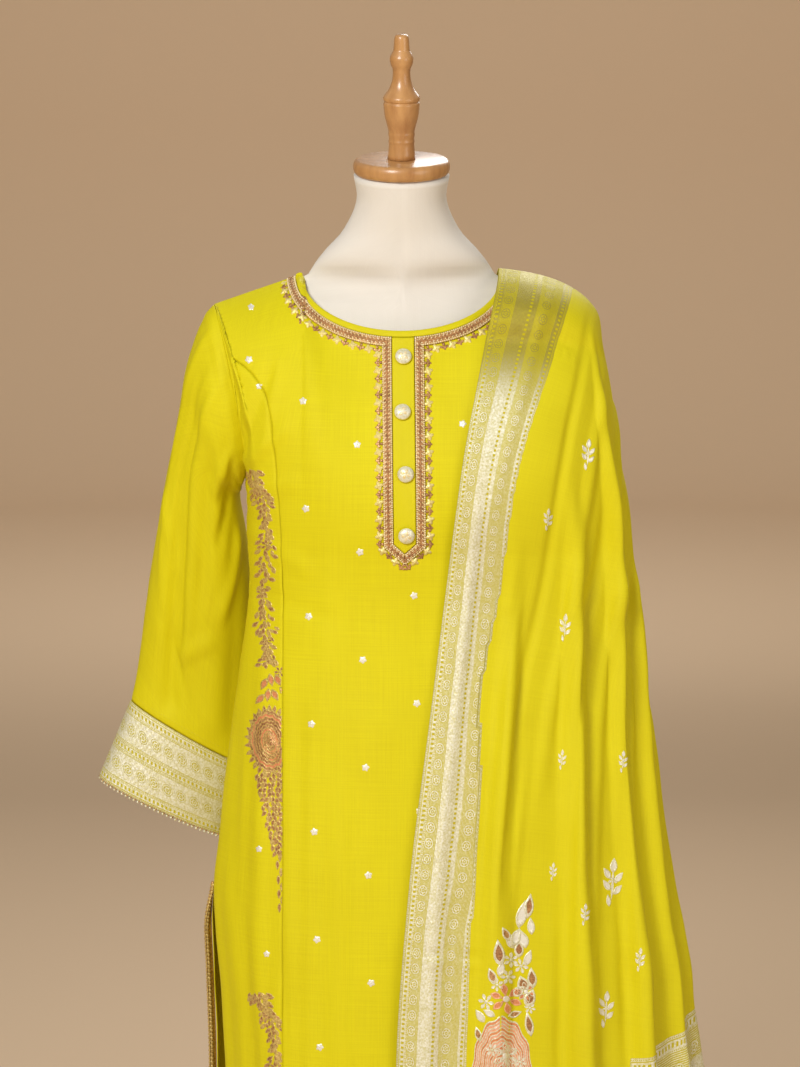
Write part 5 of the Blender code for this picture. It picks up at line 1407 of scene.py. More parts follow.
def makeTorso():
    rows = dressForm["rows"]
    table = {"columns": dressForm["rowColumns"], "rows": rows}
    z = np.linspace(rows[0][0], rows[-1][0], dressForm["levels"])[:, None]
    turn = fullTurn(dressForm["around"])[None, :]
    row = tableRow(table, z)
    depth = np.where(np.cos(turn) > 0.0, row["front"], row["back"])
    hidden = smoothStep((1.402 - z) / 0.02) * dressForm["clearance"]
    power = 2 / row["power"]
    x = (row["half"] - hidden) * signedPower(np.sin(turn), power)
    y = -(depth - hidden) * signedPower(np.cos(turn), power)
    tilt = np.radians(row["tilt"])
    grid = np.stack([x, row["midY"] + y * np.cos(tilt), z + y * np.sin(tilt) - hidden * (z > 0.9)], axis=-1)
    seam = 0.0007 * (bump(x, 0.0016) - 0.5 * bump(np.abs(x) - 0.003, 0.002)) * (np.cos(turn) > 0)
    grid = grid - gridNormals(grid, True) * seam[..., None]
    ends = [np.repeat(grid[at].mean(axis=0)[None], dressForm["around"], axis=0)[None] for at in (0, -1)]
    grid = np.concatenate([ends[0], grid, ends[1]], axis=0)
    grid = outwardTube(grid, grid.mean(axis=1, keepdims=True))
    addPiece("form_torso_fine", sheetMesh("form_torso_fine", grid, tubeLayers(grid), True),
             formCover, ["form_torso"])


def roundedProfile(profile):  # small radii where a turned profile bends
    points = np.array(profile, float)
    reach = dressForm["bendReach"]
    made = [points[0]]
    for before, at, after in zip(points[:-2], points[1:-1], points[2:]):
        made.append(at + (before - at) * reach)
        made.append(at + (before + after - 2 * at) * reach / 3)
        made.append(at + (after - at) * reach)
    made.append(points[-1])
    return np.array(made)


def turnedPiece(name, profile, place, tilt, steps=72):
    profile = np.concatenate([[(0.0, profile[0][1])], roundedProfile(profile), [(0.0, profile[-1][1])]])
    angle = fullTurn(steps)[None, :]
    radius, height = profile[:, :1], profile[:, 1:]
    x, y, z = radius * np.sin(angle), -radius * np.cos(angle), height + 0 * angle
    sine, cosine = math.sin(tilt), math.cos(tilt)
    grid = np.stack([x, y * cosine - z * sine, y * sine + z * cosine], axis=-1) + np.array(place)
    grid = outwardTube(grid, grid.mean(axis=1, keepdims=True))
    addPiece(name + "_fine", sheetMesh(name + "_fine", grid, tubeLayers(grid), True),
             varnishedWood, [name])


def makeForm():
    makeTorso()
    tilt, gap = dressForm["neckTilt"], dressForm["capGap"]
    half = dressForm["capThickness"] / 2
    rim = [
        (dressForm["capRadius"] - half * 0.6 * (1 - math.sin(angle)), half + half * math.cos(angle) + gap)
        for angle in np.radians(np.linspace(0, 180, 13))
    ]
    turnedPiece("form_neck_cap", rim, dressForm["capPlace"], tilt)
    lift = dressForm["capThickness"] + gap
    place = np.array(dressForm["capPlace"]) + np.array([0.0, -math.sin(tilt) * lift, math.cos(tilt) * lift])
    turnedPiece("form_finial", dressForm["finial"], place, tilt)
    turnedPiece("form_pole", dressForm["pole"], (0, 0, 0), 0.0)
    turnedPiece("form_base", dressForm["base"], (0, 0, 0), 0.0, 128)


makeForm()
print("dress form made")


# small worked shapes, joined into one mesh for each piece


def circleOutline(count):
    turn = fullTurn(count)
    return np.stack([np.cos(turn), np.sin(turn)], axis=-1)


def lobedOutline(lobes, depth, count):
    turn = fullTurn(count)
    radius = 1.0 - depth + depth * np.cos(lobes * turn)
    return np.stack([radius * np.sin(turn), radius * np.cos(turn)], axis=-1)[::-1]


def petalOutline(count=14, fullness=0.8):  # one unit long and wide, centred
    part = evenly(count // 2 + 1)
    side = 0.5 * np.sin(math.pi * part ** fullness)
    right = np.stack([side, part - 0.5], axis=-1)
    return np.concatenate([right, right[-2:0:-1] * (-1.0, 1.0)])


def paisleyOutline(bend, count=40):  # a round foot and a tip that curls to one side
    part = evenly(count // 2 + 1)
    foot = np.sqrt(np.clip(1.0 - (1.0 - part / 0.42) ** 2, 0.0, 1.0))
    taper = np.clip(1.0 - (part - 0.42) / 0.58, 0.0, 1.0) ** 0.85
    half = 0.5 * np.where(part < 0.42, foot, taper)
    spine = bend * np.clip(part - 0.35, 0.0, 1.0) ** 1.6
    right = np.stack([spine + half, part - 0.5], axis=-1)
    left = np.stack([spine - half, part - 0.5], axis=-1)
    return np.concatenate([right, left[-2:0:-1]])


def ringedShape(outline, rings):  # rings from the edge inwards: scale, height, material number
    outline = np.asarray(outline, float)
    count, centre = len(outline), outline.mean(axis=0)
    points = [np.column_stack([centre + (outline - centre) * scale, np.full(count, height)])
              for scale, height, _ in rings]
    points.append(np.array([[centre[0], centre[1], rings[-1][1]]]))
    here = np.arange(count)
    after = np.roll(here, -1)
    faces, kinds = [], []
    for index, ring in enumerate(rings):
        low, high = index * count, (index + 1) * count
        if index < len(rings) - 1:
            faces.append(np.stack([here + low, after + low, after + high], axis=-1))
            faces.append(np.stack([here + low, after + high, here + high], axis=-1))
            kinds.extend([ring[2]] * 2 * count)
        else:
            faces.append(np.stack([here + low, after + low, np.full(count, high)], axis=-1))
            kinds.extend([ring[2]] * count)
    return {"points": np.concatenate(points), "faces": np.concatenate(faces), "kinds": np.array(kinds)}


def shaped(shape, x=0.0, y=0.0, turn=0.0, wide=1.0, tall=1.0, rise=0.0):
    angle = math.radians(turn)
    points = shape["points"].copy()
    across, along = points[:, 0] * wide, points[:, 1] * tall
    points[:, 0] = x + across * math.cos(angle) - along * math.sin(angle)
    points[:, 1] = y + across * math.sin(angle) + along * math.cos(angle)
    points[:, 2] += rise
    return {"points": points, "faces": shape["faces"], "kinds": shape["kinds"]}


def joined(shapes):
    starts = np.cumsum([0] + [len(shape["points"]) for shape in shapes])
    return {
        "points": np.concatenate([shape["points"] for shape in shapes]),
        "faces": np.concatenate([shape["faces"] + start for shape, start in zip(shapes, starts)]),
        "kinds": np.concatenate([shape["kinds"] for shape in shapes]),
    }


def newPile():
    return {"points": [], "faces": [], "kinds": [], "count": 0}


def addToPile(pile, points, faces, kinds):
    pile["points"].append(points)
    pile["faces"].append(faces + pile["count"])
    pile["kinds"].append(kinds)
    pile["count"] += len(points)


def lineFrames(line, outs, pitch, start=0.5):  # even places along a line, with their directions
    steps = np.linalg.norm(np.diff(line, axis=0), axis=-1)
    length = np.concatenate([[0.0], np.cumsum(steps)])
    count = max(int(round(length[-1] / pitch)), 1)
    at = (np.arange(count) + start) * length[-1] / count

    def read(values, where):
        return np.stack([np.interp(where, length, values[:, axis]) for axis in range(3)], axis=-1)

    up = unit(read(line, at + 0.0008) - read(line, at - 0.0008))
    out = unit(read(outs, at))
    right = unit(np.cross(up, out))
    return {"centre": read(line, at), "right": right, "up": unit(np.cross(out, right)), "out": out}


def someFrames(frames, pick):
    return {name: values[pick] for name, values in frames.items()}


def stampFrames(pile, shape, frames, size, turn=0.0, aside=0.0, lift=0.0, rise=1.0):
    angle = np.radians(turn) + np.zeros(len(frames["centre"]))
    across = shape["points"][:, 0] * np.cos(angle)[:, None] - shape["points"][:, 1] * np.sin(angle)[:, None]
    along = shape["points"][:, 0] * np.sin(angle)[:, None] + shape["points"][:, 1] * np.cos(angle)[:, None]
    height = shape["points"][:, 2] * rise + lift
    points = frames["centre"][:, None] + (aside + size * across)[..., None] * frames["right"][:, None]
    points = points + size * along[..., None] * frames["up"][:, None]
    points = points + height[None, :, None] * frames["out"][:, None]
    count, total = len(shape["points"]), len(points)
    faces = (shape["faces"][None] + (np.arange(total) * count)[:, None, None]).reshape(-1, 3)
    addToPile(pile, points.reshape(-1, 3), faces, np.tile(shape["kinds"], total))


def surfaceTree(*sheets):  # each sheet is a grid and whether it is closed
    points, faces, start = [], [], 0
    for grid, closed in sheets:
        points.extend(grid.reshape(-1, 3).tolist())
        faces.extend((gridFaces(grid.shape[0], grid.shape[1], closed) + start).tolist())
        start = len(points)
    return BVHTree.FromPolygons(points, faces)


def castPlaces(tree, places, way):  # "photo" casts photo pixels from the eye, "front" and "back" cast x and z
    found, outs = np.full((len(places), 3), np.nan), np.zeros((len(places), 3))
    for index, (first, second) in enumerate(places):
        if way == "photo":
            origin, ray = eye, photoRay(first, second)
        else:
            side = 1.0 if way == "front" else -1.0
            origin, ray = np.array([first, -side, second]), np.array([0.0, side, 0.0])
        hit, normal, _, _ = tree.ray_cast(Vector(origin), Vector(ray))
        if hit is not None:
            found[index] = hit
            outs[index] = np.array(normal) * (-1.0 if normal.dot(Vector(ray)) > 0.0 else 1.0)
    return found, outs


def stampCloth(pile, shape, tree, way, x, y, turn=0.0, wide=1.0, tall=1.0, rise=1.0):
    # lays a flat shape on the cloth; what falls past the cloth's edge is left out
    flip = -1.0 if way == "photo" else 1.0
    placed = shaped(shape, 0.0, 0.0, turn, wide, tall)
    places = placed["points"][:, :2] * (1.0, flip) + (x, y)
    found, outs = castPlaces(tree, places, way)
    points = found + outs * (placed["points"][:, 2:] * rise)
    faces = placed["faces"]
    spans = np.linalg.norm(points[faces] - points[np.roll(faces, 1, axis=1)], axis=-1).max(axis=1)
    keep = ~(np.isnan(spans)) & (spans < 0.03)
    points = np.nan_to_num(points)
    faces, kinds = faces[keep], placed["kinds"][keep]
    if len(faces) == 0:
        return
    corners = points[faces]
    facing = np.cross(corners[:, 1] - corners[:, 0], corners[:, 2] - corners[:, 0])
    if np.sum(facing * outs[faces[:, 0]]) < 0.0:
        faces = faces[:, ::-1]
    used, fresh = np.unique(faces, return_inverse=True)
    addToPile(pile, points[used], fresh.reshape(-1, 3), kinds)


def pilePiece(pile, name, materials, replaced=()):
    mesh = bpy.data.meshes.new(name)
    mesh.from_pydata(np.concatenate(pile["points"]).tolist(), [], np.concatenate(pile["faces"]).tolist())
    addPiece(name, mesh, materials, replaced)
    mesh.polygons.foreach_set("material_index", np.concatenate(pile["kinds"]).astype(np.int32))
    mesh.shade_smooth()


def ofKind(shape, kind):  # the same shape, all in one material of its piece
    return {"points": shape["points"], "faces": shape["faces"], "kinds": 0 * shape["kinds"] + kind}


beadShape = ringedShape(circleOutline(7), ((1.0, -0.0002, 0), (0.96, 0.0004, 0), (0.55, 0.0010, 0)))
stitchShape = ringedShape(circleOutline(6) * (0.17, 0.5), ((1.0, -0.0001, 0), (0.7, 0.00022, 0)))


# the neck binding, placket, worked border and buttons

neckTrim = {
    "lift": 0.0023,
    "gap": 0.0006,
    "bindingWidth": 0.0055,
    "bindingCloth": 0.0006,
    # out from the neckline and up from the kameez's inner side, from the turned-in edge to the outer one
    "bindingFold": (
        (0.0042, -0.0009), (0.0018, -0.0010), (-0.0006, -0.0004), (-0.0012, 0.0010), (-0.0004, 0.0024),
        (0.0014, 0.0032), (0.0032, 0.0033), (0.0050, 0.0031), (0.0061, 0.0024),
    ),
    "bindingRipple": (0.00008, 90),  # rise, and ripples round the neck
    "placketCloth": 0.0012,
    "borderWidth": 0.0100,
    "borderCloth": 0.0018,
    "borderParts": (9 / 23, 21 / 23),
    "borderStart": 0.243,
    "cornerRise": 0.0008,
    "elbowSpread": 0.35,
    "tipSpread": 1.25,
    "tipGap": 0.00025,
    "placketHalf": 0.0117,
    "placketTopX": 0.0015,
    "placketEnd": (0.0036, 1.1060),
    "placketShoulder": 1.1165,
    "beadPitch": 0.0024,
    "stitchPitch": 0.00145,
    "starPitch": 0.0182,
    # the line of stars, and a second one beside it, in border widths out from the border's inner edge
    "starLine": np.array([[1.46, 1.51]]),
    "buttons": ((0.0020, 1.3115), (0.0011, 1.2541), (0.0043, 1.1902), (0.0052, 1.1259)),
    "buttonRadius": 0.0092,
    "buttonHeight": 0.0050,
}


def neckPath(turn, away, lift):
    angle = turn * 2 * math.pi
    sine, cosine = np.sin(angle), np.abs(np.cos(angle))
    front = np.cos(angle) >= 0.0
    corner, tip = np.array(kameez["shoulderNeck"]), np.array(kameez["shoulderTip"])
    centreZ = np.where(front, kameez["neckFront"][2], kameez["neckBack"][2])
    outward = unit(np.stack([sine / kameez["neckHalf"], 0 * sine, -cosine / (corner[2] - centreZ)], axis=-1))
    seam = unit(tip - corner)
    flat = smoothStep((np.abs(sine) - 0.90) / 0.10)[..., None]
    beside = np.stack([np.sign(sine) * seam[0], 0 * sine, 0 * sine + seam[2]], axis=-1)
    outward = unit(outward * (1.0 - flat) + beside * flat)
    x = kameez["neckHalf"] * sine + outward[..., 0] * away
    z = corner[2] + (centreZ - corner[2]) * cosine + outward[..., 2] * away
    places = [bodyAt(side, x, z) for side in (True, False)]
    point = np.where(front[..., None], places[0][0], places[1][0])
    normal = np.where(front[..., None], places[0][1], places[1][1])
    near = smoothStep(1.0 - cosine / 0.14)[..., None]
    top = np.stack([x, 0 * x + corner[1], z], axis=-1)
    up = unit(np.stack([0.31 * np.sign(sine), 0 * sine, 0 * sine + 0.95], axis=-1))
    away = unit(normal * (1.0 - near) + up * near)
    height = np.asarray(lift)[..., None] + 0.0003 * near
    return point * (1.0 - near) + top * near + away * height


def borderAt(u, v, mirror, lift):
    trim = neckTrim
    away = trim["bindingWidth"] + 0.0010 + trim["borderWidth"] * u
    corner, sideEnd = trim["borderParts"]
    beside = trim["placketHalf"] + trim["gap"] + trim["borderWidth"] * u
    topX, (endX, endZ) = trim["placketTopX"], trim["placketEnd"]
    lastTurn = np.arcsin((beside + topX * mirror) / (kameez["neckHalf"] + away)) / (2 * math.pi)
    turn = trim["borderStart"] + (lastTurn - trim["borderStart"]) * np.clip(v / corner, 0.0, 1.0)
    neck = neckPath(turn if mirror > 0 else 1.0 - turn, away, lift)
    part = np.clip((v - corner) / (1.0 - corner), 0.0, 1.0)
    tipPart = (sideEnd - corner) / (1.0 - corner)
    top = kameez["neckFront"][2] - away + trim["cornerRise"]
    lean = topX + (endX - topX) * np.minimum(part / tipPart, 1.0)
    elbow = trim["placketShoulder"] - 0.0003 - trim["borderWidth"] * trim["elbowSpread"] * u
    tip = endZ - trim["cornerRise"] - trim["borderWidth"] * trim["tipSpread"] * u
    down = np.clip((part - tipPart) / (1.0 - tipPart), 0.0, 1.0)
    x = beside + (trim["tipGap"] - beside) * down
    z = np.where(part < tipPart, top + (elbow - top) * part / tipPart, elbow + (tip - elbow) * down)
    strip, normal = bodyAt(True, lean + mirror * x, z)
    strip = strip + normal * np.asarray(lift)[..., None]
    return np.where((v < corner)[..., None], neck, strip)


def makeNeckTrims():
    trim = neckTrim
    across, turn = np.meshgrid(evenly(19), (np.arange(280) + 0.5) / 280, indexing="ij")
    fold = np.array(trim["bindingFold"])
    steps = evenly(len(fold))
    ripple, ripples = trim["bindingRipple"]
    away = np.interp(across, steps, fold[:, 0])
    lift = np.interp(across, steps, fold[:, 1]) + ripple * np.sin(turn * 2 * math.pi * ripples)
    near = np.maximum(away, 0.0004)
    grid = neckPath(turn, near, lift)
    outward = unit(neckPath(turn, 0.0044 + 0 * turn, lift) - neckPath(turn, 0.0004 + 0 * turn, lift))
    grid = grid + outward * (away - near)[..., None]
    middle = np.array([0.0, 0.0, 1.25])
    if not facingOut(grid, middle, True):
        grid = grid[::-1]
    binding = clothPiece("neck_binding", grid, bindingSatin, ["neck_binding"],
                         trim["bindingCloth"], tubeLayers(grid), True)

    v, side = np.meshgrid(evenly(130), np.linspace(-1, 1, 17), indexing="ij")
    top = kameez["neckFront"][2] - trim["bindingWidth"] - 2 * trim["gap"]
    endX, endZ = trim["placketEnd"]
    lean = trim["placketTopX"] + (endX - trim["placketTopX"]) * (1.0 - v)
    bottom = trim["placketShoulder"] + (endZ - trim["placketShoulder"]) * (1.0 - np.abs(side))
    lift = trim["lift"] + trim["placketCloth"] * (0.8 + 0.2 * np.cos(side * math.pi / 2))
    lift = lift + 0.00035 * bump(np.abs(side) - 0.86, 0.12)
    z = bottom + (top - bottom) * v
    grid, normal = bodyAt(True, lean + side * trim["placketHalf"], z)
    grid = grid + normal * lift[..., None]
    if not facingOut(grid, middle):
        grid = grid[::-1]
    placket = clothPiece("placket", grid, bindingSatin, ["placket"],
                         trim["placketCloth"], sheetLayers(grid))


def lobedBud():  # three small loops on a stem
    loop = ringedShape(petalOutline(10), ((1.0, -0.0002, 0), (0.86, 0.0009, 1), (0.45, 0.0006, 0)))
    return joined([
        shaped(loop, 0.0, -0.10, 0.0, 0.36, 0.70), shaped(loop, -0.30, 0.02, 52.0, 0.34, 0.62),
        shaped(loop, 0.30, 0.02, -52.0, 0.34, 0.62), shaped(beadShape, 0.0, 0.34, 0.0, 0.20, 0.20),
    ])


def makeWorkedBorders():
    trim = neckTrim
    corner, sideEnd = trim["borderParts"]
    levels = np.concatenate([np.linspace(0, corner - 1e-4, 130), np.linspace(corner + 1e-4, sideEnd, 190),
                             np.linspace(sideEnd, 1.0, 16)[1:]])
    star = joined([
        ringedShape(lobedOutline(4, 0.24, 24), ((1.0, -0.0002, 0), (0.92, 0.0010, 0), (0.45, 0.0014, 0))),
        ringedShape(lobedOutline(4, 0.24, 16)[:, ::-1] * 0.62, ((1.0, 0.0008, 0), (0.8, 0.0018, 0))),
        shaped(beadShape, 0.0, 0.0, 0.0, 0.17, 0.17, 0.0016),
    ])
    bud = lobedBud()
    cord = ringedShape(circleOutline(8) * (0.30, 0.62), ((1.0, -0.0001, 0), (0.72, 0.00075, 0)))
    coppers, rusts, pearls, sequins = range(4)
    # column, turn, shift, most threads, every third thread
    cordRows = ((3, 38.0, 0.25, coppers, pearls), (5, -38.0, 0.75, rusts, coppers),
                (7, 38.0, 0.25, coppers, pearls))
    for side, mirror in (("left", 1.0), ("right", -1.0)):
        v, u = np.meshgrid(levels, evenly(11), indexing="ij")
        lift = trim["lift"] + trim["borderCloth"] * (0.62 + 0.20 * np.sin(math.pi * u))
        grid = borderAt(u, v, mirror, lift)
        normals = gridNormals(grid)
        sign = 1.0 if facingOut(grid, np.array([0.0, 0.0, 1.25])) else -1.0
        name = "neck_embroidery_" + side
        base = grid if sign > 0 else grid[:, ::-1]
        clothPiece(name, base, copperThread, [name], trim["borderCloth"] * 0.6,
                   sheetLayers(base))
        pile = newPile()
        for column, turn, shift, usual, third in cordRows:
            frames = lineFrames(grid[:, column], normals[:, column] * sign, trim["stitchPitch"], shift)
            order = np.arange(len(frames["centre"]))
            for thread, pick in ((usual, order % 3 != 2), (third, order % 3 == 2)):
                stampFrames(pile, ofKind(cord, thread), someFrames(frames, pick), 0.0026, turn * mirror)
        for column in (1, 9):
            frames = lineFrames(grid[:, column], normals[:, column] * sign, trim["beadPitch"])
            stampFrames(pile, ofKind(beadShape, pearls), frames, 0.0011, rise=1.1)
        guide = borderAt(trim["starLine"], levels[:, None], mirror, trim["lift"] + 0.0 * levels[:, None])
        outs = np.repeat(normals[:, 9:10] * sign, 2, axis=1)
        length = np.linalg.norm(np.diff(guide[:, 0], axis=0), axis=-1).sum()
        pairs = int(round(length / (trim["starPitch"] / 2)))
        frames = lineFrames(guide[:, 0], outs[:, 0], length / pairs)
        order = np.arange(len(frames["centre"]))
        stars, buds = someFrames(frames, order % 2 == 0), someFrames(frames, order % 2 == 1)
        stampFrames(pile, ofKind(star, sequins), stars, 0.0055, 20.0, lift=-0.0008)
        stampFrames(pile, bud, buds, 0.0088, -90.0 * mirror, lift=-0.0008)
        pilePiece(pile, "neck_beads_" + side, [copperThread, rustThread, pearlBead, sequinMetal])


def makeButtons():
    trim = neckTrim
    radius, height = trim["buttonRadius"], trim["buttonHeight"]
    angles = np.radians((88, 80, 70, 58, 44, 30, 15))
    rings = [(0.94, -0.0008, 0), (0.99, 0.0002, 0)]
    for order, angle in enumerate(angles):
        rings.append((math.sin(angle), height * math.cos(angle), 0 if order < 2 else 1))
    dome = ringedShape(circleOutline(48), rings)
    petal = ringedShape(petalOutline(12, 1.1), ((1.0, -0.0002, 2), (0.85, 0.0002, 2), (0.4, 0.0003, 2)))
    flower = joined([
        shaped(petal, 0.36 * math.sin(turn), 0.36 * math.cos(turn), -math.degrees(turn), 0.42, 0.62)
        for turn in (math.pi / 4, 3 * math.pi / 4, 5 * math.pi / 4, 7 * math.pi / 4)
    ])
    away = np.clip(np.hypot(flower["points"][:, 0], flower["points"][:, 1]), 0.0, 0.98)
    flower["points"][:, 2] += height * np.sqrt(1.0 - away ** 2)
    for number, (x, z) in enumerate(trim["buttons"], 1):
        place, out = bodyAt(True, x, z, trim["lift"] + trim["placketCloth"] + 0.0014)
        right = unit(np.cross(np.array([0.0, 0.0, 1.0]), out))
        frames = {"centre": place, "right": right, "up": np.cross(out, right), "out": out}
        frames = someFrames(frames, None)
        pile = newPile()
        turn = 8.0 * number
        stampFrames(pile, dome, frames, radius, turn)
        stampFrames(pile, flower, frames, radius, turn)
        pilePiece(pile, "button_%d_fine" % number, [bindingSatin, goldThread, pearlBead],
                  ["button_%d" % number])


slitLace = {
    "top": 0.712,
    "rows": 170,
    "cloth": 0.0010,
    "lift": 0.0012,
    "inset": 0.0035,
    "width": 0.0065,
    "flare": (0.0045, 0.06),  # rise at the top, and the height it fades over
    "crown": 0.0008,
    "edgePitch": 0.0048,
    "rowPitch": 0.0021,
}


def makeSlitLaces():
    lace = slitLace
    copperBead = ofKind(beadShape, 1)
    for side, mirror in (("left", 1.0), ("right", -1.0)):
        z = np.linspace(lace["top"], kameez["hemZ"], lace["rows"])
        edge = skirtPoint(False, np.ones_like(z), z)
        u = evenly(6)
        rise, reach = lace["flare"]
        flare = rise * smoothStep((lace["top"] - z) / reach)[:, None] * (1.0 - u)
        crown = lace["crown"] * np.sin(math.pi * u)
        x = (edge[:, :1] + kameez["cloth"] + 0.0003 + lace["lift"] + flare + crown) * mirror
        y = edge[:, 1:2] - lace["inset"] + lace["width"] * u
        grid = np.stack([x, y, z[:, None] + 0 * x], axis=-1)
        if not facingOut(grid, np.array([0.0, 0.05, 0.5])):
            grid = grid[:, ::-1]
        name = "slit_lace_" + side
        clothPiece(name, grid, copperThread, [name], lace["cloth"], sheetLayers(grid))
        pile = newPile()
        front = 0 if grid[0, 0, 1] < grid[0, -1, 1] else -1
        normals = gridNormals(grid)
        frames = lineFrames(grid[:, front], normals[:, front], lace["edgePitch"])
        frames["centre"] = frames["centre"] + np.array([0.0006 * mirror, -0.0008, 0.0])
        stampFrames(pile, beadShape, frames, 0.0035, rise=1.6)
        frames["out"] = frames["out"] * 0 + np.array([0.35 * mirror, -0.94, 0.0])
        frames["right"] = np.cross(frames["up"], frames["out"])
        stampFrames(pile, beadShape, frames, 0.0031, rise=1.3)
        between = lineFrames(grid[:, front], normals[:, front], lace["edgePitch"], 0.0)
        between["centre"] = between["centre"] + np.array([0.0010 * mirror, -0.0004, 0.0])
        stampFrames(pile, copperBead, between, 0.0021, rise=1.6)
        for column in (2, 4):
            frames = lineFrames(grid[:, column], normals[:, column], lace["rowPitch"])
            stampFrames(pile, copperBead, frames, 0.0009)
        pilePiece(pile, "slit_beads_" + side, [brassThread, copperThread])


makeNeckTrims()
makeWorkedBorders()
makeButtons()
makeSlitLaces()
print("neck trims, buttons and laces made")


# picots under the cuffs and machine stitches

stitching = {
    "picotPitch": 0.0053,
    "picotSize": 0.0026,
    "stitchPitch": 0.0034,
    "stitchLength": 0.0025,
    "hemInset": 0.0205,
    "slitInset": 0.0095,
    "slitTop": 0.705,
    "scarfPitch": 0.0046,
}


def ringLine(grid, row):  # one row of a tube, closed
    return np.concatenate([grid[row], grid[row][:1]])


def makeCuffPicots():
    pitch, size = stitching["picotPitch"], stitching["picotSize"]
    loop = joined([
        shaped(ofKind(beadShape, 1), 0.0, -0.45, 0.0, 0.62, 0.62),
        shaped(beadShape, 0.0, 0.30, 0.0, 0.42, 0.42),
    ])
    for side in ("left", "right"):
        grid = sleeveGrids[side][1]
        last, before = (-1, -2) if grid[-1, :, 2].mean() < grid[0, :, 2].mean() else (0, 1)
        line, outs = ringLine(grid, last), ringLine(gridNormals(grid, True), last)
        down = unit(line - ringLine(grid, before))
        frames = lineFrames(line, outs, pitch)
        lower = lineFrames(line + down * 0.01, outs, pitch)
        count = min(len(frames["centre"]), len(lower["centre"]))
        frames = someFrames(frames, slice(0, count))
        frames["up"] = unit(frames["centre"] - lower["centre"][:count])
        frames["right"] = unit(np.cross(frames["up"], frames["out"]))
        frames["centre"] = frames["centre"] - frames["up"] * 0.0010 - frames["out"] * 0.0006
        pile = newPile()
        stampFrames(pile, loop, frames, size, rise=1.5)
        frames["out"], frames["right"] = -frames["out"], -frames["right"]
        stampFrames(pile, loop, frames, size, rise=0.8)
        pilePiece(pile, "cuff_picots_" + side, [copperThread, goldThread])


def stitchLine(pile, line, outs, pitch):
    stampFrames(pile, stitchShape, lineFrames(line, outs, pitch), stitching["stitchLength"])


def makeStitches():
    pile, pitch = newPile(), stitching["stitchPitch"]
    for name, grid in kameezGrids.items():
        normals = gridNormals(grid)
        hem = grid[:, :, 2].mean(axis=1).argmin()
        away = arcAlong(grid)[:, grid.shape[1] // 2]
        away = np.abs(away - away[hem])
        row = np.abs(away - stitching["hemInset"]).argmin()
        stitchLine(pile, grid[row, 1:-1], normals[row, 1:-1], pitch)
        across = arcAcross(grid)[10]
        for column, inset in ((0, stitching["slitInset"]), (-1, across[-1] - stitching["slitInset"])):
            if name == "centre" or abs(grid[10, column, 0]) < 0.15:  # only the edges that carry a slit
                continue
            inner = np.abs(across - inset).argmin()
            below = grid[:, inner, 2] < stitching["slitTop"]
            stitchLine(pile, grid[below, inner], normals[below, inner], pitch)
    for side in ("left", "right"):
        grid = sleeveGrids[side][0]
        row = 3 if grid[0, :, 2].mean() < grid[-1, :, 2].mean() else len(grid) - 4
        stitchLine(pile, ringLine(grid, row), ringLine(gridNormals(grid, True), row), pitch)
    pilePiece(pile, "kameez_stitches", [yellowStitch])
    pile = newPile()
    normals = gridNormals(dupattaGrid)
    for column in (2, -3):
        stitchLine(pile, dupattaGrid[:, column], normals[:, column], stitching["scarfPitch"])
    pilePiece(pile, "dupatta_stitches", [yellowStitch])


makeCuffPicots()
makeStitches()
print("picots and stitches made")


# the woven motifs

motifs = {
    "rim": 0.0004,
    # photo pixels across and down of one flower, and how the rows step
    "butti": {
        "firstX": 303.0, "firstY": 401.0, "stepX": 53.0, "stepY": 107.7,
        "drop": 43.5, "lean": 0.026, "size": 4.3,
    },
    # photo pixels of the flowers beside the seam
    "sideButtis": ((251, 307), (259, 386), (259, 849), (266.7, 954), (271, 1120)),
    # metres across and up, on the kameez's back and on the dupatta's back
    "backButti": {"stepX": 0.058, "topZ": 1.27, "stepZ": 0.118, "drop": 0.048, "size": 0.0046},
    "backSprig": {"firstX": 0.115, "stepX": 0.055, "topZ": 1.16, "stepZ": 0.17, "drop": 0.08,
                  "wide": 0.034, "tall": 0.038},
    # photo pixels of the vine's stem
    "stem": ((250, 472), (257, 486), (264, 505), (266, 545), (264, 600), (267, 640), (268, 668)),
    # photo pixels of a flower and its radius
    "vineFlowers": ((267, 545, 6.5), (262, 593, 6.0), (267, 640, 5.0), (280, 672, 6.0), (262, 566, 4.0)),
    # photo pixels of the cone's head, and the half width and half height of the leaves round it
    "head": (269.5, 741),
    "headRing": (21.0, 32.5),
    # photo pixels and turn of the coral petals above the head
    "petals": ((264, 684, -28), (271, 680, 12), (268, 695, -6), (275, 695, 30),
               (260, 699, -44), (284, 692, 40), (278, 680, 24)),
    "tail": ((278, 850), (280, 880), (281, 908)),
    # photo pixels from one vine to the next one below it
    "repeat": (9.0, 523.0),
    # photo pixels and length of the sprigs on the dupatta
    "sprigs": ((612.5, 883, 52), (565, 628, 30), (588, 455, 34), (562, 760, 22), (623, 762, 24),
               (585, 915, 24), (553, 872, 20), (606, 1010, 40), (548, 520, 24), (640, 960, 26)),
}
fillCoral, fillCopper, lineGold, fillSilver, fillRust, fillPink = 0, 1, 2, 3, 4, 5


def outlined(outline, fill, line=lineGold, inner=0.62):
    rise = motifs["rim"]
    return ringedShape(outline, ((1.0, -0.0003, line), (0.96, rise, line), (inner + 0.08, rise, line),
                                 (inner, rise * 0.5, fill), (0.35, rise * 0.9, fill)))


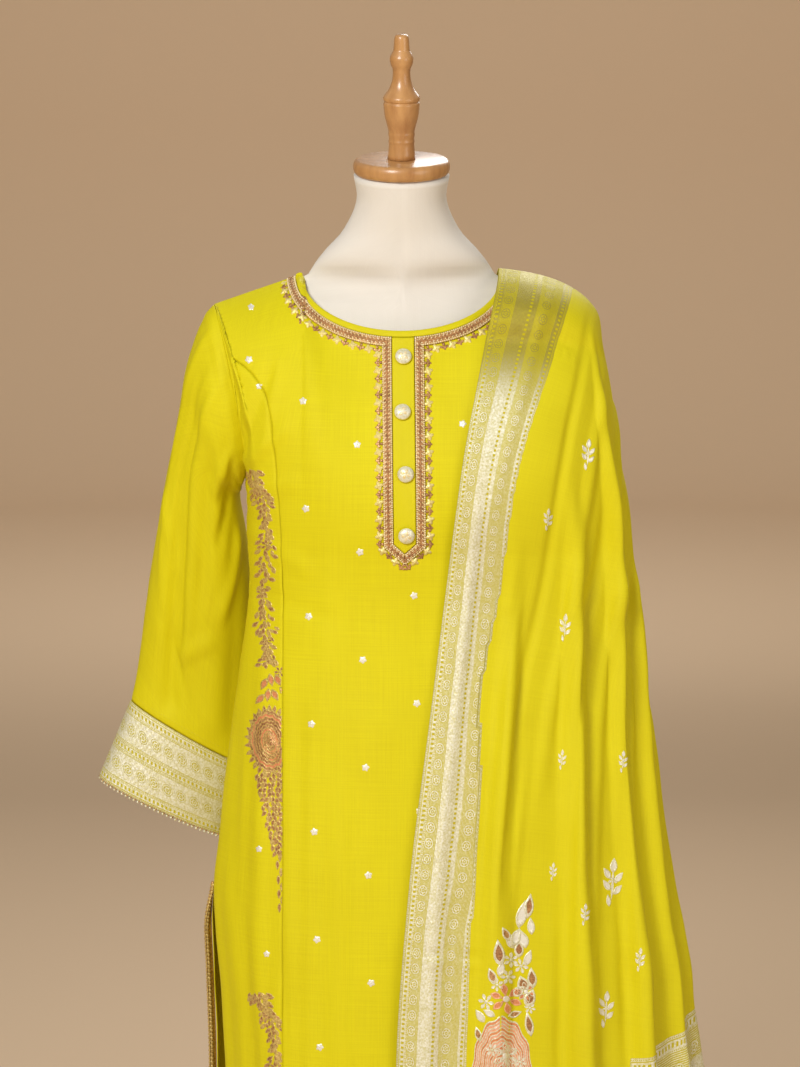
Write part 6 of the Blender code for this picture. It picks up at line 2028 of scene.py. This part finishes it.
def bandedShape(outline, fills, step):  # coloured bands between thin pale lines, as woven shading
    rise = motifs["rim"]
    rings = [(1.0, -0.0003, lineGold)]
    for index, scale in enumerate(np.arange(0.985, 0.12, -step)):
        fill = fills[index % len(fills)]
        rings.extend(((scale, rise, lineGold), (scale - step * 0.22, rise, lineGold),
                      (scale - step * 0.30, rise * 0.5, fill), (scale - step * 0.92, rise * 0.6, fill)))
    return ringedShape(outline, rings)


def flowerShape(petals, fill, centreFill, line=lineGold):
    petal = outlined(petalOutline(12, 1.25), fill, line, 0.66)
    shapes = []
    for index in range(petals):
        turn = index / petals * 2 * math.pi
        shapes.append(shaped(petal, -0.58 * math.sin(turn), 0.58 * math.cos(turn), math.degrees(turn),
                             2.6 / petals, 0.84))
    rings = ((1.0, 0.0, line), (0.9, 0.0006, centreFill), (0.4, 0.0007, centreFill))
    centre = ringedShape(circleOutline(10), rings)
    return joined(shapes + [shaped(centre, 0, 0, 0, 0.22, 0.22)])


motifThreads = [coralThread, copperThread, goldThread, silverThread, rustThread, pinkThread]
vineThreads = [coralThread, copperThread, brassThread, silverThread, rustThread, pinkThread]
buttiRings = ((1.0, -0.0003, fillSilver), (0.9, 0.0004, fillSilver), (0.5, 0.0005, fillSilver))
buttiHeart = ringedShape(circleOutline(8), ((1.0, 0.0004, lineGold), (0.7, 0.0007, lineGold)))
buttiShape = joined([
    shaped(ringedShape(lobedOutline(5, 0.16, 20), buttiRings)),
    shaped(buttiHeart, 0, 0, 0, 0.24, 0.24),
])
leafShape, rustLeaf, goldLeaf, silverLeaf = (
    outlined(petalOutline(12), fill) for fill in (fillCopper, fillRust, lineGold, fillSilver)
)
smallLeaf, smallRust, smallGold = (
    ringedShape(petalOutline(8), ((1.0, -0.0002, lineGold), (0.86, 0.0005, lineGold), (0.62, 0.0004, fill)))
    for fill in (fillCopper, fillRust, lineGold)
)
coralPetal = outlined(petalOutline(14, 1.15), fillCoral)
vineFlower = flowerShape(6, fillRust, lineGold)
silverFlower = flowerShape(6, fillSilver, lineGold)


def curvePoints(points, count):
    points = np.array(points, float)
    keys = evenly(len(points))
    table = {"columns": ("key", "x", "y"), "rows": np.column_stack([keys, points])}
    row = tableRow(table, evenly(count))
    return np.stack([row["x"], row["y"]], axis=-1)


leafRings = (  # how far from the stem, how far turned from its heading, and the shapes in turn
    (7.6, 48.0, (smallLeaf, smallRust, smallGold)),
    (-4.2, -34.0, (smallGold, smallLeaf)),
    (1.0, 10.0, (smallRust, smallGold)),
)


def vineElements():  # shape, place, turn, width and length in photo pixels
    made = []
    chance = np.random.default_rng(11)
    stem = curvePoints(motifs["stem"], 62)
    for index, (x, y) in enumerate(stem[:-1]):
        heading = math.degrees(math.atan2(stem[index + 1][0] - x, stem[index + 1][1] - y))
        side = 1.0 if index % 2 else -1.0
        swell = 0.85 + 0.40 * math.sin(index * 0.42 + 0.6)
        for reach, lean, shapes in leafRings:
            shift, tilt = chance.uniform(-1.9, 1.9, 2), chance.uniform(-30.0, 30.0)
            size = chance.uniform(0.75, 1.25)
            made.append((shapes[index % len(shapes)], x + side * reach * swell + shift[0], y + shift[1],
                         heading + side * lean + tilt, 4.2 * size, 8.2 * size))
    made.extend((vineFlower, x, y, 11.0 * index, size, size)
                for index, (x, y, size) in enumerate(motifs["vineFlowers"]))
    made.extend((coralPetal, x, y, turn, 7.0, 14.0) for x, y, turn in motifs["petals"])
    head = bandedShape(lobedOutline(16, 0.035, 64), (fillCopper, fillCoral, fillCopper, fillRust), 0.11)
    headX, headY = motifs["head"]
    made.append((head, headX, headY, 8.0, 21.5, 33.0))
    swirl = bandedShape(paisleyOutline(0.30), (fillCoral, fillCopper), 0.16)
    made.append((swirl, headX + 0.5, headY + 3, 12.0, 17.0, 38.0))
    halfWide, halfTall = motifs["headRing"]
    for index in range(26):
        turn = 2 * math.pi * index / 26
        right, up = halfWide * math.sin(turn), halfTall * math.cos(turn)
        made.append((leafShape if index % 2 else goldLeaf, headX + right, headY - up,
                     -math.degrees(math.atan2(right, up)), 4.4, 8.5))
    for level in range(17):  # the tail narrows below the head
        y = 776.0 + level * 4.8
        count = 8 - level * 6 // 17
        for place in range(count):
            away = (place - (count - 1) / 2) * 3.9
            shape = (smallLeaf, smallRust, smallGold, smallLeaf, smallRust)[(level * 3 + place) % 5]
            shift, tilt = chance.uniform(-1.4, 1.4, 2), chance.uniform(-35.0, 35.0)
            x = 271.5 + level * 0.42 + away + shift[0]
            made.append((shape, x, y + shift[1], away * 2.5 + 180.0 + tilt, 4.4, 8.2))
    for index, (x, y) in enumerate(curvePoints(motifs["tail"], 9)):
        made.append((goldLeaf if index % 2 else rustLeaf, x + (index % 2 - 0.5) * 3.0, y, 180.0, 3.6, 10.0))
    return made


def makeKameezMotifs():
    pile = newPile()
    centreTree = surfaceTree((kameezGrids["centre"], False))
    sideTree = surfaceTree((kameezGrids["right"], False))
    butti = motifs["butti"]
    for column in range(-1, 8):
        for row in range(-3, 12):
            y = butti["firstY"] + butti["stepY"] * row + butti["drop"] * (column % 5)
            x = butti["firstX"] + butti["stepX"] * column + butti["lean"] * (y - butti["firstY"])
            # none on the shoulder, beside the neckline or beside the placket
            if y < 300 or (y < 340 and abs(x - 402) < 60) or (abs(x - 403) < 34 and y < 580):
                continue
            stampCloth(pile, buttiShape, centreTree, "photo", x, y, 20.0 * row, butti["size"], butti["size"])
    for x, y in motifs["sideButtis"]:
        for tree in (sideTree, centreTree):
            stampCloth(pile, buttiShape, tree, "photo", x, y, 0.0, 3.6, 3.8)
    pilePiece(pile, "front_buttis", motifThreads)

    backPile, backTree = newPile(), surfaceTree((kameezGrids["back"], False))
    butti = motifs["backButti"]
    for column in range(-3, 4):
        for row in range(9):
            x = butti["stepX"] * column
            z = butti["topZ"] - butti["stepZ"] * row - butti["drop"] * (column % 5 % 3)
            stampCloth(backPile, buttiShape, backTree, "back", x, z, 20.0 * row, butti["size"], butti["size"])
    pilePiece(backPile, "back_buttis", motifThreads)

    pile = newPile()
    leftTree = surfaceTree((kameezGrids["left"], False))
    moveX, moveY = motifs["repeat"]
    for shape, x, y, turn, wide, tall in vineElements():
        stampCloth(pile, shape, sideTree, "photo", x, y, turn, wide, tall)
        stampCloth(pile, shape, sideTree, "photo", x + moveX, y + moveY, turn, wide, tall)
    # the same threads again on the wearer's left, mirrored
    right = np.concatenate(pile["points"])
    faces, kinds = np.concatenate(pile["faces"]), np.concatenate(pile["kinds"])
    found, outs = castPlaces(leftTree, right[:, (0, 2)] * (-1.0, 1.0), "front")
    there, thereOuts = castPlaces(sideTree, right[:, (0, 2)], "front")
    height = np.sum((right - there) * thereOuts, axis=-1)
    found = found + outs * height[:, None]
    keep = ~np.isnan(found[faces]).any(axis=(1, 2)) & (np.abs(height)[faces] < 0.002).all(axis=1)
    addToPile(pile, np.nan_to_num(found), faces[keep][:, ::-1], kinds[keep])
    pilePiece(pile, "side_vines", vineThreads)


def makeDupattaMotifs():
    pile, tree = newPile(), surfaceTree((dupattaGrid, False))
    bands = (fillCoral, fillPink, fillPink, fillCoral, fillPink)
    body = bandedShape(lobedOutline(12, 0.03, 72), bands, 0.065)
    heart = flowerShape(6, fillCoral, fillSilver, lineGold)
    elements = [  # shape, place, turn, width and length in photo pixels
        (rustLeaf, 529, 906, -8, 10, 26), (silverLeaf, 522, 914, -14, 11, 30),
        (silverLeaf, 516, 937, -24, 11, 20), (silverLeaf, 523, 939, 18, 11, 20),
        (rustLeaf, 519, 949, 0, 10, 18), (rustLeaf, 499, 953, 6, 12, 28),
        (silverLeaf, 510, 943, 40, 7, 14), (silverFlower, 511, 960, 0, 8, 8),
        (silverFlower, 521, 966, 15, 8, 8), (silverFlower, 508, 977, 30, 8, 8),
        (flowerShape(6, fillCoral, fillSilver, fillPink), 506, 999, 10, 17, 16),
        (silverFlower, 486, 1002, 20, 8, 9), (rustLeaf, 523, 984, 20, 13, 18),
        (rustLeaf, 530, 998, -20, 12, 20), (leafShape, 519, 991, -50, 10, 16),
        (rustLeaf, 532, 978, 5, 10, 22), (body, 502, 1072, 0, 31, 57), (heart, 505, 1056, 0, 13, 15),
        (silverFlower, 497, 985, 0, 7, 7), (leafShape, 492, 976, 20, 9, 18),
        (silverLeaf, 501, 969, -14, 8, 16), (heart, 526, 992, 15, 10, 11),
        (silverLeaf, 489, 1013, 60, 7, 14), (leafShape, 515, 1014, -70, 7, 15),
        (silverFlower, 530, 1008, 15, 6, 6), (silverLeaf, 528, 958, -20, 8, 18),
        (leafShape, 506, 934, 28, 8, 16), (silverLeaf, 531, 926, 4, 8, 18),
        (silverFlower, 507, 1056, 0, 12, 12), (silverFlower, 492, 1050, 20, 7, 7),
        (silverFlower, 520, 1062, 10, 7, 7), (silverLeaf, 480, 1016, 34, 8, 16),
        (rustLeaf, 529, 1024, 10, 9, 26), (leafShape, 478, 1034, 16, 7, 16),
    ]
    for shape, x, y, turn, wide, tall in elements:
        stampCloth(pile, shape, tree, "photo", x, y, turn, wide, tall)
    sprig = joined([
        shaped(silverLeaf, 0.0, 0.34, 0, 0.16, 0.30), shaped(silverLeaf, -0.13, 0.18, 38, 0.13, 0.26),
        shaped(silverLeaf, 0.13, 0.12, -38, 0.13, 0.26), shaped(silverLeaf, -0.12, -0.05, 42, 0.13, 0.26),
        shaped(silverLeaf, 0.12, -0.12, -42, 0.13, 0.26), shaped(silverLeaf, 0.0, -0.02, 0, 0.05, 0.62),
        shaped(silverFlower, 0.0, 0.06, 0, 0.11, 0.11), shaped(silverLeaf, -0.06, -0.34, 12, 0.10, 0.24),
    ])
    for x, y, tall in motifs["sprigs"]:
        stampCloth(pile, sprig, tree, "photo", x, y, -4.0, tall * 0.9, tall)
    back = motifs["backSprig"]
    for column in range(3):
        for row in range(5):
            x = back["firstX"] + back["stepX"] * column
            z = back["topZ"] - back["stepZ"] * row - back["drop"] * (column % 2)
            stampCloth(pile, sprig, tree, "back", x, z, 4.0, back["wide"], back["tall"])
    pilePiece(pile, "dupatta_motifs", motifThreads)


makeKameezMotifs()
makeDupattaMotifs()
print("motifs made")


# the room

room = {
    "radius": 9.0,
    "rise": 5.0,
    "bend": 1.6,
    "colour": (0.72, 0.54, 0.36, 1.0),
    "world": (1.0, 0.94, 0.86, 1.0),
    "worldStrength": 0.33,
    # place, aim, size, power
    "lights": (
        ((-1.4, -3.3, 2.8), (0.0, 0.0, 1.2), 1.4, 111.0),
        ((2.6, -2.6, 1.7), (0.0, 0.0, 1.0), 2.2, 26.0),
        ((0.8, 2.4, 3.0), (0.0, 0.0, 1.2), 1.8, 40.0),
        ((0.0, 5.4, 3.6), (0.0, 9.2, 1.6), 4.0, 82.0),
    ),
}


def makeRoom():
    curve = np.linspace(0.1, 1.57, 12)
    flatRadii, bendRadii = np.linspace(0.0, room["radius"], 12), room["radius"] + room["bend"] * np.sin(curve)
    radii = np.concatenate([flatRadii, bendRadii, bendRadii[-1:]])[:, None]
    heights = np.concatenate([np.zeros(12), room["bend"] * (1 - np.cos(curve)), [room["rise"]]])[:, None]
    angle = fullTurn(96)[None, :]
    grid = np.stack([radii * np.cos(angle), radii * np.sin(angle), heights + 0 * angle], axis=-1)
    mesh = sheetMesh("studioFloor", grid, {}, True)
    floor = bpy.data.objects.new("studioFloor", mesh)
    bpy.context.scene.collection.objects.link(floor)
    made, _, shader = startMaterial("palePaper", 0.9)
    shader.inputs["Base Color"].default_value = room["colour"]
    mesh.materials.append(made)
    for index, (place, aim, size, power) in enumerate(room["lights"]):
        data = bpy.data.lights.new("softLight%d" % index, "AREA")
        data.shape = "DISK"
        data.size = size
        data.energy = power
        light = bpy.data.objects.new("softLight%d" % index, data)
        light.location = place
        light.rotation_euler = (Vector(aim) - Vector(place)).to_track_quat("-Z", "Y").to_euler()
        bpy.context.scene.collection.objects.link(light)
    world = bpy.data.worlds.new("paleStudio")
    world.use_nodes = True
    world.node_tree.nodes["Background"].inputs["Color"].default_value = room["world"]
    world.node_tree.nodes["Background"].inputs["Strength"].default_value = room["worldStrength"]
    bpy.context.scene.world = world
    bpy.context.scene.view_settings.view_transform = "Standard"


makeRoom()
print("room made")
